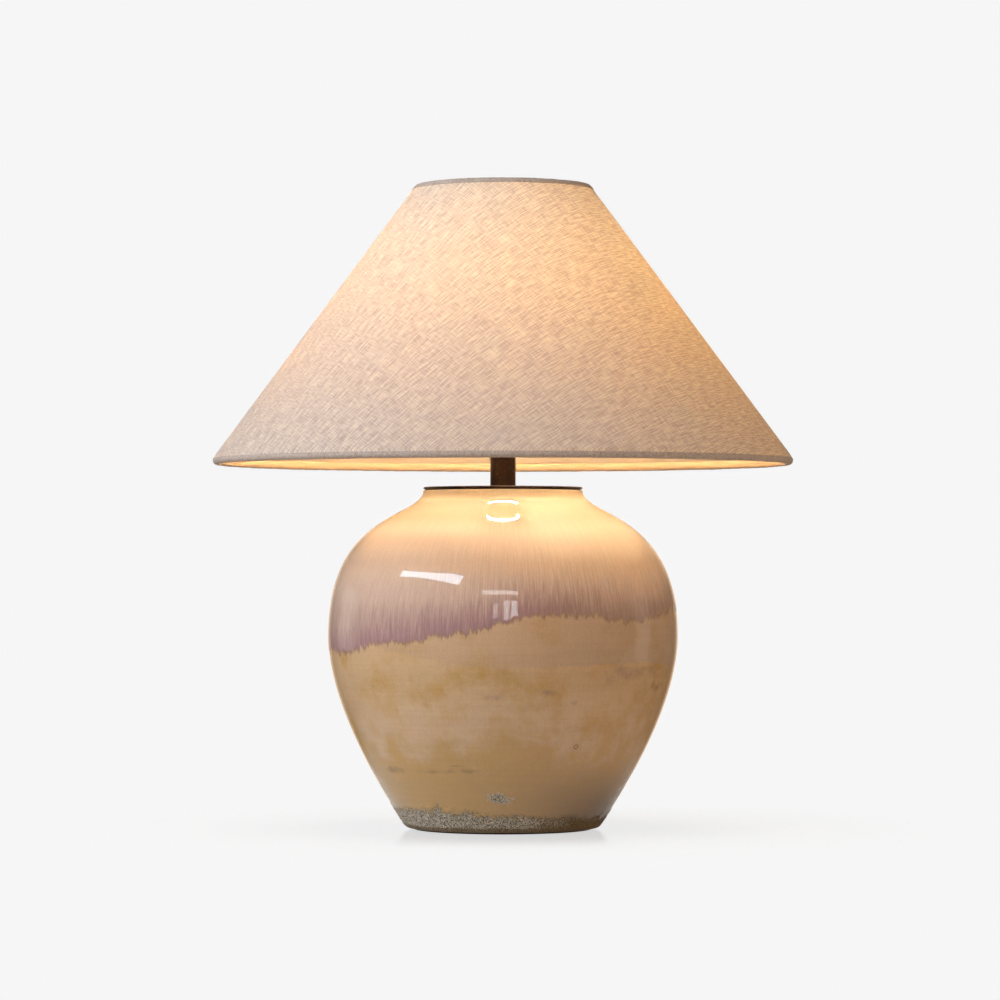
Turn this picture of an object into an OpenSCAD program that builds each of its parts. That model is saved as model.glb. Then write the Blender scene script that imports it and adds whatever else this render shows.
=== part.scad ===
// Jar table lamp: a glazed stoneware jar on a felt disc, a hollow threaded rod up its axis, a metal cap
// and neck, a harp that carries a flared linen shade, and a globe bulb in a screw socket.
// Millimetres. The lamp stands on z = 0 around the Z axis, and its cord enters from the back, at +Y.

/* [Felt and foot] */
// Radius of the felt disc under the foot
felt_r = 84; // [82:0.5:86]
// Thickness of the felt disc
felt_t = 1.5; // [1:0.5:3]
// Outer radius of the flat foot of the jar
foot_r = 88; // [87:0.5:92]
// How far the wall flares out over the foot's rounded edge
foot_flare = 4.9; // [3:0.1:7]
// Height of the foot's rounded edge
foot_round = 2.5; // [1.5:0.5:4]
// Radius of the hollow under the jar
recess_r = 80; // [76:1:81]
// Depth of the hollow under the jar
recess_depth = 18; // [17:1:24]

/* [Jar] */
// Height of the jar from its foot to its rim
jar_h = 319.5; // [315:0.5:330]
// Thickness of the jar's wall
jar_wall = 7; // [5:0.5:8]
// Thickness of the jar's floor over the hollow
jar_floor_t = 8; // [6:1:12]
// Angle of the wall where it leaves the foot, from level
foot_angle = 56.6; // [50:0.2:62]
// Pull of the outline where it leaves the foot
foot_pull = 57; // [45:1:65]
// Radius of the belly
belly_r = 165.7; // [155:0.1:175]
// Height of the belly above the foot
belly_h = 182; // [175:1:190]
// Pull of the outline below the belly
belly_pull_down = 59.5; // [45:0.5:70]
// Pull of the outline above the belly
belly_pull_up = 75; // [65:1:80]
// Radius at which the shoulder turns into the neck
shoulder_r = 94.5; // [90:0.5:100]
// Depth below the rim at which the shoulder turns into the neck
collar_depth = 18.1; // [14:0.1:24]
// Slope of the shoulder there, from level
shoulder_angle = 26.3; // [22:0.1:32]
// Pull of the outline below that point
shoulder_pull = 41.3; // [32:0.1:48]
// Pull of the neck's outline above that point
neck_pull = 13.6; // [9:0.1:16]
// Pull of the neck's outline under the rim
rim_pull = 5.4; // [3:0.1:8]
// Radius of the rim
mouth_r = 75.9; // [73:0.1:79]
// Rounding of the rim's edges
rim_round = 1.2; // [0.6:0.1:2]

/* [Cord inlet] */
// Height of the cord's hole above the foot
inlet_h = 11; // [10:0.5:11.5]
// Radius of the grommet's bore
inlet_r = 3.25; // [2.5:0.05:3.5]
// Wall of the grommet's sleeve
grommet_wall = 1; // [0.6:0.1:1.4]
// Radius of the grommet's outer flange
grommet_flange_r = 6.2; // [5.6:0.1:6.6]
// Thickness of the grommet's flange
grommet_flange_t = 2; // [1.2:0.1:2.5]
// How far the flange's seat lies inside the wall's foot edge
grommet_seat_in = 1.4; // [0.5:0.1:2.5]

/* [Rod and fixings] */
// Outer radius of the hollow threaded rod
rod_r = 5.1; // [4.8:0.05:5.3]
// Radius of the rod's wire way
rod_bore_r = 3.4; // [3:0.1:3.8]
// Length of rod that stands out below the lower nut
rod_tail = 3.5; // [2:0.5:4.5]
// Gap between the rod and what it passes through
rod_gap = 0.15; // [0.05:0.05:0.5]
// Radius of the rubber gasket under the jar's floor
gasket_r = 24; // [18:1:40]
// Thickness of the rubber gaskets
gasket_t = 2; // [1:0.5:3]
// Radius of the steel washer
washer_r = 21; // [15:1:36]
// Thickness of the steel washer
washer_t = 2; // [1:0.5:2.5]
// Radius of the toothed lock washer
lock_r = 8.4; // [7.5:0.1:12]
// Thickness of the lock washer
lock_t = 1; // [0.5:0.1:1.5]
// Number of teeth on the lock washer
lock_teeth = 12; // [6:1:18]
// Width of the hexagon nuts across their flats
nut_af = 14.2; // [13:0.1:15]
// Height of the hexagon nuts
nut_h = 4.5; // [3.5:0.5:5]
// Pitch of the rod's thread
rod_pitch = 0.94; // [0.8:0.02:1.2]
// Depth of the rod's thread
rod_thread = 0.35; // [0.2:0.05:0.5]

/* [Cap and neck] */
// Radius of the metal cap on the jar's mouth
cap_r = 75.5; // [72:0.5:78]
// Thickness of the cap
cap_t = 2; // [1.5:0.5:3]
// Depth of the cap's lip inside the mouth
cap_lip_h = 8; // [5:1:14]
// Thickness of the cap's lip
cap_lip_t = 1.5; // [1:0.5:2]
// Gap between the cap's lip and the mouth
cap_lip_gap = 0.6; // [0.4:0.1:1]
// Thickness of the gasket between the rim and the cap
cap_gasket_t = 1; // [0.5:0.5:2]
// Radius of the neck tube
neck_r = 12.05; // [11.5:0.05:13]
// Wall of the neck tube
neck_wall = 1.2; // [0.8:0.1:1.8]
// Height of the neck tube
neck_h = 42; // [36:1:60]

/* [Harp] */
// Direction of the harp's plane, counter-clockwise from +X
harp_az = 41; // [0:1:179]
// Radius of the harp's wire
harp_wire_r = 1.75; // [1.5:0.05:2]
// Half of the distance between the harp's feet
harp_foot_x = 27; // [26.5:0.5:30]
// Half of the harp's greatest width, on its wire's axis
harp_half_w = 57; // [52:1:60]
// Height from the saddle's top to the shade's seat
harp_h = 201.5; // [196:0.5:210]
// Angle by which each leg leans out of its foot
harp_lean = 45; // [40:1:50]
// Radius of each leg's first bend
harp_foot_bend = 40; // [34:1:46]
// Angle by which each leg leans in below the top corner
harp_lean_in = 45; // [42:1:48]
// Radius of the harp's top corners
harp_corner = 20; // [17:1:22]
// Straight length of each foot over the saddle's prong
harp_straight = 20; // [19:1:24]
// Thickness of the saddle's plate
saddle_t = 1.5; // [1:0.5:2]
// Width of the saddle's plate
saddle_w = 9; // [8:0.5:11]
// Height of the shoulders that the sleeves rest on, above the saddle's plate
shoulder_stand = 9; // [7:0.5:10]
// Length of the prongs above those shoulders
prong_h = 9.5; // [8:0.5:11]
// Gap between a prong's tip and the harp's foot
prong_gap = 0.3; // [0.1:0.1:0.5]
// Length of a harp sleeve
sleeve_h = 16; // [15:0.5:18]
// Outer radius of a harp sleeve
sleeve_r = 3.5; // [3.2:0.1:4]
// Running gap around the wire in a sleeve
sleeve_gap = 0.08; // [0.05:0.01:0.1]
// Radius of the plate on top of the harp
seat_r = 9; // [7:0.5:11]
// Thickness of that plate
seat_t = 2; // [1.5:0.5:3]
// Radius of the harp's threaded stud
stud_r = 3.1; // [2.9:0.05:3.2]
// Height of the stud above the plate
stud_h = 13; // [11:0.5:13.5]
// Running gap around the stud
stud_gap = 0.08; // [0.05:0.01:0.1]

/* [Socket] */
// Inner radius of the socket's screw shell
screw_r = 13.3; // [13.2:0.05:13.6]
// Sheet thickness of the screw shell
screw_t = 0.4; // [0.3:0.1:0.6]
// Height of the screw shell
screw_h = 24; // [20:1:25]
// Radius of the socket's moulded body
body_r = 16; // [15.6:0.1:16.6]
// Height of the socket's moulded body
body_h = 19.5; // [18:0.5:22]
// Height of the moulded body above the saddle
body_lift = 16.5; // [15:0.5:20]
// Thickness of the paper sleeve in the socket
paper_t = 0.8; // [0.5:0.1:1]
// Thickness of the socket's brass shell
brass_t = 0.7; // [0.5:0.1:0.9]
// Gap between the socket's nested shells
nest_gap = 0.15; // [0.1:0.05:0.2]
// Height of the socket's cap
socket_cap_h = 21; // [19:0.5:24]
// Radius of the cap's threaded neck
socket_neck_r = 8; // [7.5:0.1:9]
// How far the brass shell stands above the screw shell
shell_rise = 2; // [1:0.5:4]
// Length of rod inside the socket's cap
rod_engage = 6; // [4:0.5:8]
// Direction of the switch, counter-clockwise from +X
switch_az = -49; // [-60:1:-35]
// Height of the switch's axis above the bottom of the moulded body
switch_lift = 11; // [9:0.5:13]
// Radius of the switch's shaft
switch_r = 1.6; // [1.4:0.1:1.8]
// Distance from the lamp's axis to the knob's inner face
knob_start = 30; // [26:0.5:36]
// Length of the switch's knob
knob_len = 13; // [10:0.5:18]
// Radius of the switch's knob
knob_r = 5.2; // [4.4:0.1:6.5]
// Number of grip flutes on the knob
knob_flutes = 14; // [8:1:20]
// Radius of the heads of the terminal screws
terminal_r = 3; // [2.6:0.1:3.4]

/* [Bulb] */
// Radius of the bulb's globe
globe_r = 30; // [28:0.5:32]
// Length of the bulb from its contact to its top
bulb_len = 110; // [104:1:120]
// Crest radius of the bulb's screw base
base_r = 13.1; // [12.9:0.05:13.15]
// Height of the bulb's screw base
base_h = 20; // [18:1:22]
// Pitch of the bulb's screw thread
base_pitch = 3.63; // [3.5:0.01:3.8]
// Wall of the bulb's diffuser and plastic body
globe_wall = 1.4; // [1:0.1:2]
// Distance below the globe's centre at which the diffuser meets the plastic body
globe_split = 12; // [8:0.5:15]

/* [Shade] */
// Radius of the linen's lower edge
linen_bottom_r = 274.2; // [250:0.1:290]
// Radius of the linen's upper edge
linen_top_r = 84.7; // [82:0.1:92]
// Height of the linen
linen_h = 256; // [240:1:258]
// Thickness of the linen
linen_t = 0.8; // [0.5:0.1:1.2]
// Thickness of the styrene liner
liner_t = 0.5; // [0.3:0.1:0.8]
// Thickness of the glue between the shade's layers
glue_t = 0.05; // [0.03:0.01:0.1]
// Radius of the lower ring's wire
low_wire_r = 1.6; // [1.2:0.1:2]
// Radius of the lower rolled trim
low_roll_r = 3.5; // [3.2:0.1:4]
// Radius of the upper ring's wire
top_wire_r = 1.2; // [1:0.1:1.3]
// Radius of the upper rolled trim
top_roll_r = 2.2; // [2:0.1:2.4]
// Width of the slit where a trim's two edges meet
trim_slit = 0.3; // [0.2:0.1:0.5]
// Width of the linen's glued overlap
seam_w = 12; // [8:1:16]
// Thickness of that overlap
seam_t = 0.6; // [0.4:0.1:0.8]
// Direction of the overlap, counter-clockwise from +X
seam_az = 158; // [140:1:200]
// Height of the upper ring above the harp's seat
spider_drop = 38.8; // [30:0.2:44]
// Radius of the spider's wire arms
arm_r = 1.6; // [1.3:0.1:1.8]
// Radius of the bend in each arm
arm_bend = 10; // [6:1:14]
// Direction of the first arm, counter-clockwise from +X
arm_az = 104; // [100:1:125]
// Number of arms
arm_count = 3; // [3:1:4]
// Radius of the spider's centre washer
hub_r = 12; // [10:0.5:15]
// Thickness of the spider's centre washer
hub_t = 2; // [1.5:0.5:3]

/* [Finial] */
// Radius of the finial's ball
finial_ball_r = 8.5; // [7:0.5:10]
// Radius of the finial's foot
finial_foot_r = 7.5; // [6.8:0.1:9]
// Height of the finial's foot
finial_foot_h = 3; // [2:0.5:4]
// Height of the finial's ball centre above the spider
finial_ball_h = 17; // [15:0.5:19]
// Outer radius of the finial's threaded insert
insert_r = 4.6; // [4.3:0.1:5]
// Length of the threaded insert
insert_h = 12; // [10:0.5:12.5]

/* [Hidden] */
$fn = 64;
// How far a cutter reaches past the face that it opens
cut = 1;
cut_reach = 40;
// How far two stretches of one wire or bar lap into each other
weld = 0.5;
// By how much every other stretch of a bent wire is thinner
wire_step = 0.03;

// Heights of the stack, from the floor up
foot_z = felt_t;
recess_z = foot_z + recess_depth;
floor_z = recess_z + jar_floor_t;
rim_z = foot_z + jar_h;
cap_z = rim_z + cap_gasket_t;
neck_z = cap_z + cap_t;
saddle_z = neck_z + neck_h;
saddle_top = saddle_z + saddle_t;
shoulder_top = saddle_top + shoulder_stand;
leg_z = shoulder_top + prong_h + prong_gap;
seat_z = saddle_top + harp_h;
ring_z = seat_z + spider_drop;
nut_z = recess_z - gasket_t - washer_t - lock_t - nut_h;
rod_z = nut_z - rod_tail;
rod_top = saddle_top + rod_engage;

// A cubic curve through two ends with two handles, its left-hand normal, and the curve moved along it
function mix3(p, t) = pow(1 - t, 3) * p[0] + 3 * pow(1 - t, 2) * t * p[1]
  + 3 * (1 - t) * t * t * p[2] + pow(t, 3) * p[3];
function slope3(p, t) = 3 * pow(1 - t, 2) * (p[1] - p[0]) + 6 * (1 - t) * t * (p[2] - p[1])
  + 3 * t * t * (p[3] - p[2]);
function left(v) = [-v[1], v[0]] / norm(v);
function curve(p, steps, shift = 0) =
  [for (i = [0:steps]) mix3(p, i / steps) + shift * left(slope3(p, i / steps))];
function heading(a) = [cos(a), sin(a)];
function tail(points) = [for (i = [1:len(points) - 1]) points[i]];
function flip(points) = [for (i = [len(points) - 1:-1:0]) points[i]];
// Points of an arc about a centre
function arc(c, r, a0, a1, steps) =
  [for (i = [0:steps]) c + r * heading(a0 + (a1 - a0) * i / steps)];

// Outline of the jar: foot to belly, belly to shoulder, shoulder to rim
foot_end = [foot_r + foot_flare, foot_z + foot_round];
belly = [belly_r, foot_z + belly_h];
turn = [shoulder_r, rim_z - collar_depth];
rim_end = [mouth_r, rim_z - rim_round];
low_curve = [foot_end, foot_end + foot_pull * heading(foot_angle), belly - [0, belly_pull_down], belly];
high_curve = [belly, belly + [0, belly_pull_up], turn + shoulder_pull * heading(-shoulder_angle), turn];
neck_curve = [turn, turn + neck_pull * heading(180 - shoulder_angle), rim_end - [0, rim_pull], rim_end];
low_steps = 22;
high_steps = 24;
neck_steps = 10;
function jar_side(shift) = concat(curve(low_curve, low_steps, shift),
  tail(curve(high_curve, high_steps, shift)), tail(curve(neck_curve, neck_steps, shift)));
inner_side = [for (p = jar_side(jar_wall)) if (p[1] > floor_z + jar_wall) p];
// The foot's rounded edge: a curve from the flat foot to the start of the wall
foot_knee = [foot_end[0] - foot_round / tan(foot_angle), foot_z];
foot_edge = curve([[foot_r, foot_z], foot_knee, foot_knee, foot_end], 5);
rim_out = arc([mouth_r - rim_round, rim_z - rim_round], rim_round, 0, 90, 4);
rim_in = arc([mouth_r - jar_wall + rim_round, rim_z - rim_round], rim_round, 90, 180, 4);
hole_r = rod_r + rod_gap;

// Screw threads, hexagon nuts and the lock washer
thread_crest = 0.2;
stud_thread = 0.3;
nut_chamfer = 0.8;
tooth_gap = 1;

// The cord's hole and its grommet
inlet_z = foot_z + inlet_h;
sleeve_out = inlet_r + grommet_wall;
grommet_gap = 0.1;
grommet_seat = foot_end[0] - grommet_seat_in;
grommet_stand = 2;
grommet_in = recess_r - grommet_stand;

// The cap's lip and its gasket, and the neck tube's closed top
lip_r = mouth_r - jar_wall - cap_lip_gap;
lip_low = -cap_lip_h - cap_gasket_t;
cap_edge = 0.5;
gasket_side = 1;
neck_top_t = 2;

// The saddle's shoulders and the sleeves' beads
saddle_disc_r = neck_r - 1;
shoulder_low_r = saddle_w / 2 - 0.6;
shoulder_high_r = sleeve_r - 0.2;
sleeve_bead = 0.5;
sleeve_bead_h = 1.6;

// The harp's outline in its own plane: out of the foot, over the widest point, in, and round the corner
harp_leg_top = leg_z + harp_straight;
harp_wide_bend = (harp_half_w - harp_foot_x) / (1 - cos(harp_lean)) - harp_foot_bend;
harp_wide_z = harp_leg_top + (harp_foot_bend + harp_wide_bend) * sin(harp_lean);
harp_top_z = seat_z - seat_t - harp_wire_r;
harp_rise = harp_top_z - harp_wide_z;
harp_upper_bend = (harp_rise - harp_corner * (1 - sin(harp_lean_in))) / sin(harp_lean_in);
corner_x = harp_half_w - harp_upper_bend * (1 - cos(harp_lean_in));
harp_flat_x = corner_x - harp_corner * cos(harp_lean_in);

// The socket, outwards from its moulded body
body_z = saddle_top + body_lift;
body_top = body_z + body_h;
paper_r = body_r + nest_gap + paper_t;
brass_r = paper_r + nest_gap + brass_t;
socket_cap_r = brass_r + nest_gap + brass_t;
shell_top = body_top + screw_h + shell_rise;
socket_neck_h = 5;
socket_dome_h = 14;
dome_low_pull = 4;
dome_high_pull = 7;
shell_z = saddle_top + socket_dome_h;
bead_r = 0.9;
paper_short = 1.5;
body_recess_r = 6;
body_recess_h = 4;
switch_z = body_z + switch_lift;
switch_gap = 0.08;
switch_in = 7;
switch_end_gap = 0.5;
switch_hole_r = switch_r + 0.6;
switch_hole_h = 5;
terminal_in = 11;
terminal_t = 1.6;
terminal_shank = 5;
terminal_shank_r = 1.7;
terminal_gap = 0.05;
terminal_room = 0.8;
slot_w = 0.7;
slot_depth = 0.7;
terminal_az = [switch_az + 90, switch_az + 270];
contact_t = 1.5;
contact_r = 4;

// The switch's knob: a neck, a fluted grip and a closed end
knob_neck_r = 3.4;
knob_neck_h = 3;
knob_edge = 0.6;
knob_crown = 1.2;
knob_end_t = 4;
flute_r = 0.75;

// The bulb, upwards from the socket's contact
bulb_z = body_top + contact_t;
tip_h = 1.5;
tip_r = 2.6;
tip_seat_r = 4.6;
glass_h = 4.5;
glass_low_r = 5.2;
glass_in = 1;
thread_z = bulb_z + tip_h + glass_h;
base_top = thread_z + base_h;
base_depth = 0.7;
base_sheet = 0.6;
globe_z = bulb_z + bulb_len - globe_r;
split_z = globe_z - globe_split;
split_a = -asin(globe_split / globe_r);
split_r = globe_r * cos(split_a);
collar_out = 1.4;
collar_rise = 0.3;
collar = [base_r + collar_out, base_top + collar_rise];
split = [split_r, split_z];
body_lean = 1;
body_pull = 14;
body_floor = 2;
body_lip = 0.8;
body_curve = [collar, collar + [body_lean, body_pull], split - body_pull * heading(90 + split_a), split];
board_t = 1.6;
board_drop = 4;
board_edge = 3.4;
led_count = 8;
led_ring_r = 12;
led_w = 3;
led_h = 0.8;

// The shade: its cone, measured along the outward normal of its slope
cone_len = norm([linen_bottom_r - linen_top_r, linen_h]);
cone_out = [linen_h, linen_bottom_r - linen_top_r] / cone_len;
cone_down = [linen_bottom_r - linen_top_r, -linen_h] / cone_len;
linen_over = 0.4;
linen_top_z = ring_z + linen_over;
linen_bottom_z = linen_top_z - linen_h;
linen_top = [linen_top_r, linen_top_z];
linen_low = [linen_bottom_r, linen_bottom_z];
layers_t = linen_t + glue_t + liner_t;
ring_gap = 0.15;
top_ring = [linen_top_r - layers_t - ring_gap - top_wire_r, ring_z];
low_ring_in = 3.2;
low_ring_drop = 2.8;
low_ring = [linen_bottom_r - low_ring_in, linen_bottom_z - low_ring_drop];
top_slit_a = 0;
low_slit_a = 52;
seam_short = 3;
arm_gap = 0.05;
arm_lift = 0.3;
arm_lap = 3;
arm_z = seat_z + arm_lift + arm_r;
arm_out = top_ring[0] - top_wire_r - arm_r - arm_gap;
hub_top = seat_z + hub_t;

// The finial, upwards from the spider: foot, cove, ball and knop
finial_gap = 0.2;
finial_edge = 0.5;
waist_a = -52;
waist_pull = 2.5;
foot_pull_up = 1;
crown_a = 76;
knop_r = 2.6;
knop_a = -30;
knop_lift = 1.9;
insert_gap = 0.05;
insert_end_gap = 0.6;

// A ring of steps round a round bar, which stand for its thread
module ring_thread(r, depth, pitch, length, bore = 0) {
  turns = floor(length / pitch);
  lead = (length - turns * pitch) / 2;
  flank = [for (i = [0:turns - 1]) each [[r - depth, lead + i * pitch],
    [r, lead + (i + 0.5 - thread_crest / 2) * pitch], [r, lead + (i + 0.5 + thread_crest / 2) * pitch]]];
  rotate_extrude()
    polygon(concat([[bore, 0], [r - depth, 0]], flank, [[r - depth, length], [bore, length]]));
}

module ring(r, bore, height) {
  difference() {
    cylinder(r = r, h = height);
    translate([0, 0, -cut]) cylinder(r = bore, h = height + 2 * cut);
  }
}

module hex_nut(z) {
  translate([0, 0, z]) difference() {
    intersection() {
      cylinder(r = nut_af / sqrt(3), h = nut_h, $fn = 6);
      rotate_extrude() polygon([[0, 0], [nut_af / 2, 0], [nut_af / sqrt(3), nut_chamfer],
        [nut_af / sqrt(3), nut_h - nut_chamfer], [nut_af / 2, nut_h], [0, nut_h]]);
    }
    translate([0, 0, -cut]) cylinder(r = hole_r, h = nut_h + 2 * cut);
  }
}

// Turns a bar along Z to point sideways at an azimuth, starting at a distance from the axis
module sideways(az, z, start) {
  rotate([0, 0, az]) translate([start, 0, z]) rotate([0, 90, 0]) children();
}

module base_felt() {
  color("#26382B") cylinder(r = felt_r, h = felt_t, $fn = 128);
}

module jar() {
  color("#B9A27E") difference() {
    rotate_extrude($fn = 180) polygon(concat(
      [[hole_r, recess_z], [recess_r, recess_z], [recess_r, foot_z]], foot_edge,
      tail(jar_side(0)), tail(rim_out), rim_in, flip(inner_side),
      [[inner_side[0][0] - jar_wall, floor_z], [hole_r, floor_z]]));
    sideways(90, inlet_z, recess_r - cut) cylinder(r = sleeve_out + grommet_gap, h = cut_reach);
    sideways(90, inlet_z, grommet_seat) cylinder(r = grommet_flange_r + grommet_gap, h = cut_reach);
  }
}

module cord_grommet() {
  length = grommet_seat - grommet_in;
  color("#1B1A18") sideways(90, inlet_z, grommet_in) difference() {
    union() {
      cylinder(r = sleeve_out, h = length + grommet_flange_t);
      translate([0, 0, length]) cylinder(r = grommet_flange_r, h = grommet_flange_t);
    }
    translate([0, 0, -cut]) cylinder(r = inlet_r, h = length + grommet_flange_t + 2 * cut);
  }
}

module bottom_gasket() {
  color("#1F1F1F") translate([0, 0, recess_z - gasket_t]) ring(gasket_r, hole_r, gasket_t);
}

module bottom_washer() {
  color("#A9A9A6") translate([0, 0, recess_z - gasket_t - washer_t])
    ring(washer_r, hole_r, washer_t);
}

module lock_washer() {
  color("#8F8F8C") translate([0, 0, nut_z + nut_h]) difference() {
    ring(lock_r, hole_r, lock_t);
    for (i = [0:lock_teeth - 1]) rotate([0, 0, i * 360 / lock_teeth])
      translate([lock_r - tooth_gap, -tooth_gap / 2, -cut])
        cube([tooth_gap + cut, tooth_gap, lock_t + 2 * cut]);
  }
}

module bottom_nut() {
  color("#B39A5B") hex_nut(nut_z);
}

module centre_rod() {
  threaded = rod_tail + nut_h + lock_t;
  color("#B7AE98") union() {
    translate([0, 0, rod_z]) ring_thread(rod_r, rod_thread, rod_pitch, threaded, rod_bore_r);
    translate([0, 0, rod_z + threaded]) ring(rod_r, rod_bore_r, rod_top - rod_z - threaded);
  }
}

module cap_gasket() {
  outer = mouth_r - rim_round - gasket_side;
  color("#1F1F1F") translate([0, 0, rim_z])
    ring(outer, mouth_r - jar_wall + rim_round, cap_gasket_t, $fn = 128);
}

module jar_cap() {
  color("#35200F") translate([0, 0, cap_z]) rotate_extrude($fn = 180) polygon([
    [hole_r, 0], [lip_r - cap_lip_t, 0], [lip_r - cap_lip_t, lip_low], [lip_r, lip_low], [lip_r, 0],
    [cap_r - cap_edge, 0], [cap_r, cap_edge], [cap_r, cap_t - cap_edge], [cap_r - cap_edge, cap_t],
    [hole_r, cap_t]]);
}

module cap_nut() {
  color("#B39A5B") hex_nut(neck_z);
}

module neck_tube() {
  color("#35200F") translate([0, 0, neck_z]) difference() {
    cylinder(r = neck_r, h = neck_h, $fn = 96);
    translate([0, 0, -cut]) cylinder(r = neck_r - neck_wall, h = neck_h - neck_top_t + cut);
    cylinder(r = hole_r, h = neck_h + cut);
  }
}

module harp_saddle() {
  color("#A88E55") rotate([0, 0, harp_az]) difference() {
    union() {
      translate([0, 0, saddle_z]) cylinder(r = saddle_disc_r, h = saddle_t);
      translate([-harp_foot_x, -saddle_w / 2, saddle_z]) cube([2 * harp_foot_x, saddle_w, saddle_t]);
      for (side = [-1, 1]) translate([side * harp_foot_x, 0, saddle_z]) {
        cylinder(r = saddle_w / 2, h = saddle_t);
        cylinder(r1 = shoulder_low_r, r2 = shoulder_high_r, h = saddle_t + shoulder_stand);
        cylinder(r = harp_wire_r, h = saddle_t + shoulder_stand + prong_h);
      }
    }
    translate([0, 0, saddle_z - cut]) cylinder(r = hole_r, h = saddle_t + 2 * cut);
  }
}

module harp_sleeve(side) {
  color("#A88E55") rotate([0, 0, harp_az]) translate([side * harp_foot_x, 0, shoulder_top])
    difference() {
      union() {
        cylinder(r = sleeve_r, h = sleeve_h);
        cylinder(r = sleeve_r + sleeve_bead, h = sleeve_bead_h);
      }
      translate([0, 0, -cut]) cylinder(r = harp_wire_r + sleeve_gap, h = sleeve_h + 2 * cut);
    }
}

module harp_sleeve_left() { harp_sleeve(-1); }

module harp_sleeve_right() { harp_sleeve(1); }

// One bend of a wire in the XZ plane, about a centre, from one angle to another and a lap past both
module wire_bend(x, z, r, from, to, wire_r, lap = 0) {
  past = lap / r * 180 / PI;
  translate([x, 0, z]) rotate([90, 0, 0]) rotate([0, 0, from - past])
    rotate_extrude(angle = to - from + 2 * past) translate([r, 0]) circle(r = wire_r, $fn = 32);
}

// Every other stretch of the wire is a hair thinner, and its ends lie inside its neighbours
module harp_side() {
  thin_r = harp_wire_r - wire_step;
  translate([harp_foot_x, 0, leg_z]) cylinder(r = harp_wire_r, h = harp_straight);
  wire_bend(harp_foot_x + harp_foot_bend, harp_leg_top, harp_foot_bend, 180 - harp_lean, 180,
    thin_r, weld);
  wire_bend(harp_half_w - harp_wide_bend, harp_wide_z, harp_wide_bend, -harp_lean, 0, harp_wire_r);
  wire_bend(harp_half_w - harp_upper_bend, harp_wide_z, harp_upper_bend, 0, harp_lean_in,
    thin_r, weld);
  wire_bend(harp_flat_x, harp_top_z - harp_corner, harp_corner, harp_lean_in, 90, harp_wire_r);
}

module harp() {
  color("#A88E55") rotate([0, 0, harp_az]) union() {
    harp_side();
    mirror([1, 0, 0]) harp_side();
    translate([-harp_flat_x - weld, 0, harp_top_z]) rotate([0, 90, 0])
      cylinder(r = harp_wire_r - wire_step, h = 2 * (harp_flat_x + weld));
  }
}

module harp_stud() {
  color("#A88E55") union() {
    difference() {
      translate([0, 0, harp_top_z]) cylinder(r = seat_r, h = seat_z - harp_top_z);
      sideways(harp_az, harp_top_z, -seat_r - cut) cylinder(r = harp_wire_r, h = 2 * (seat_r + cut));
    }
    translate([0, 0, seat_z]) ring_thread(stud_r, stud_thread, rod_pitch, stud_h);
    translate([0, 0, seat_z - seat_t / 2]) cylinder(r = stud_r - stud_thread, h = seat_t / 2 + weld);
  }
}

module socket_cap() {
  dome = [[socket_neck_r, socket_neck_h], [socket_neck_r, socket_neck_h + dome_low_pull],
    [socket_cap_r, socket_dome_h - dome_high_pull], [socket_cap_r, socket_dome_h]];
  color("#A88E55") translate([0, 0, saddle_top]) rotate_extrude($fn = 96) polygon(concat(
    [[hole_r, 0], [socket_neck_r, 0]], curve(dome, 10),
    [[socket_cap_r, socket_cap_h], [socket_cap_r - brass_t, socket_cap_h]],
    flip(curve(dome, 10, brass_t)), [[hole_r, socket_neck_h]]));
}

module socket_shell() {
  color("#A88E55") difference() {
    translate([0, 0, shell_z]) union() {
      ring(brass_r, brass_r - brass_t, shell_top - shell_z);
      translate([0, 0, shell_top - shell_z - bead_r]) rotate_extrude()
        translate([brass_r, 0]) circle(r = bead_r, $fn = 24);
    }
    translate([0, 0, shell_top - 3 * bead_r]) cylinder(r = brass_r - brass_t, h = 4 * bead_r);
    sideways(switch_az, switch_z, body_r) cylinder(r = switch_hole_r, h = switch_hole_h);
  }
}

module socket_insulator() {
  color("#D8C9A2") difference() {
    translate([0, 0, body_z]) ring(paper_r, paper_r - paper_t, shell_top - paper_short - body_z);
    sideways(switch_az, switch_z, body_r - cut) cylinder(r = switch_hole_r, h = switch_hole_h);
  }
}

module socket_body() {
  color("#2A211B") difference() {
    translate([0, 0, body_z]) cylinder(r = body_r, h = body_h);
    translate([0, 0, body_z - cut]) cylinder(r = body_recess_r, h = body_recess_h + cut);
    sideways(switch_az, switch_z, switch_in - switch_end_gap)
      cylinder(r = switch_r + switch_gap, h = body_r);
    for (az = terminal_az) {
      sideways(az, switch_z, terminal_in) cylinder(r = terminal_r + terminal_room, h = body_r);
      sideways(az, switch_z, terminal_shank) cylinder(r = terminal_shank_r + terminal_gap, h = body_r);
    }
  }
}

module screw_shell() {
  color("#C9C5BA") translate([0, 0, body_top]) ring(screw_r + screw_t, screw_r, screw_h);
}

module centre_contact() {
  color("#B08D4A") translate([0, 0, body_top]) cylinder(r = contact_r, h = contact_t);
}

module terminal_screws() {
  color("#B08D4A") for (az = terminal_az) sideways(az, switch_z, terminal_shank) difference() {
    union() {
      cylinder(r = terminal_shank_r, h = terminal_in - terminal_shank + weld);
      translate([0, 0, terminal_in - terminal_shank]) cylinder(r = terminal_r, h = terminal_t);
    }
    translate([-terminal_r, -slot_w / 2, terminal_in - terminal_shank + terminal_t - slot_depth])
      cube([2 * terminal_r, slot_w, slot_depth + cut]);
  }
}

module switch_shaft() {
  color("#B08D4A") sideways(switch_az, switch_z, switch_in)
    cylinder(r = switch_r, h = knob_start + knob_len - knob_end_t - switch_in);
}

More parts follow.
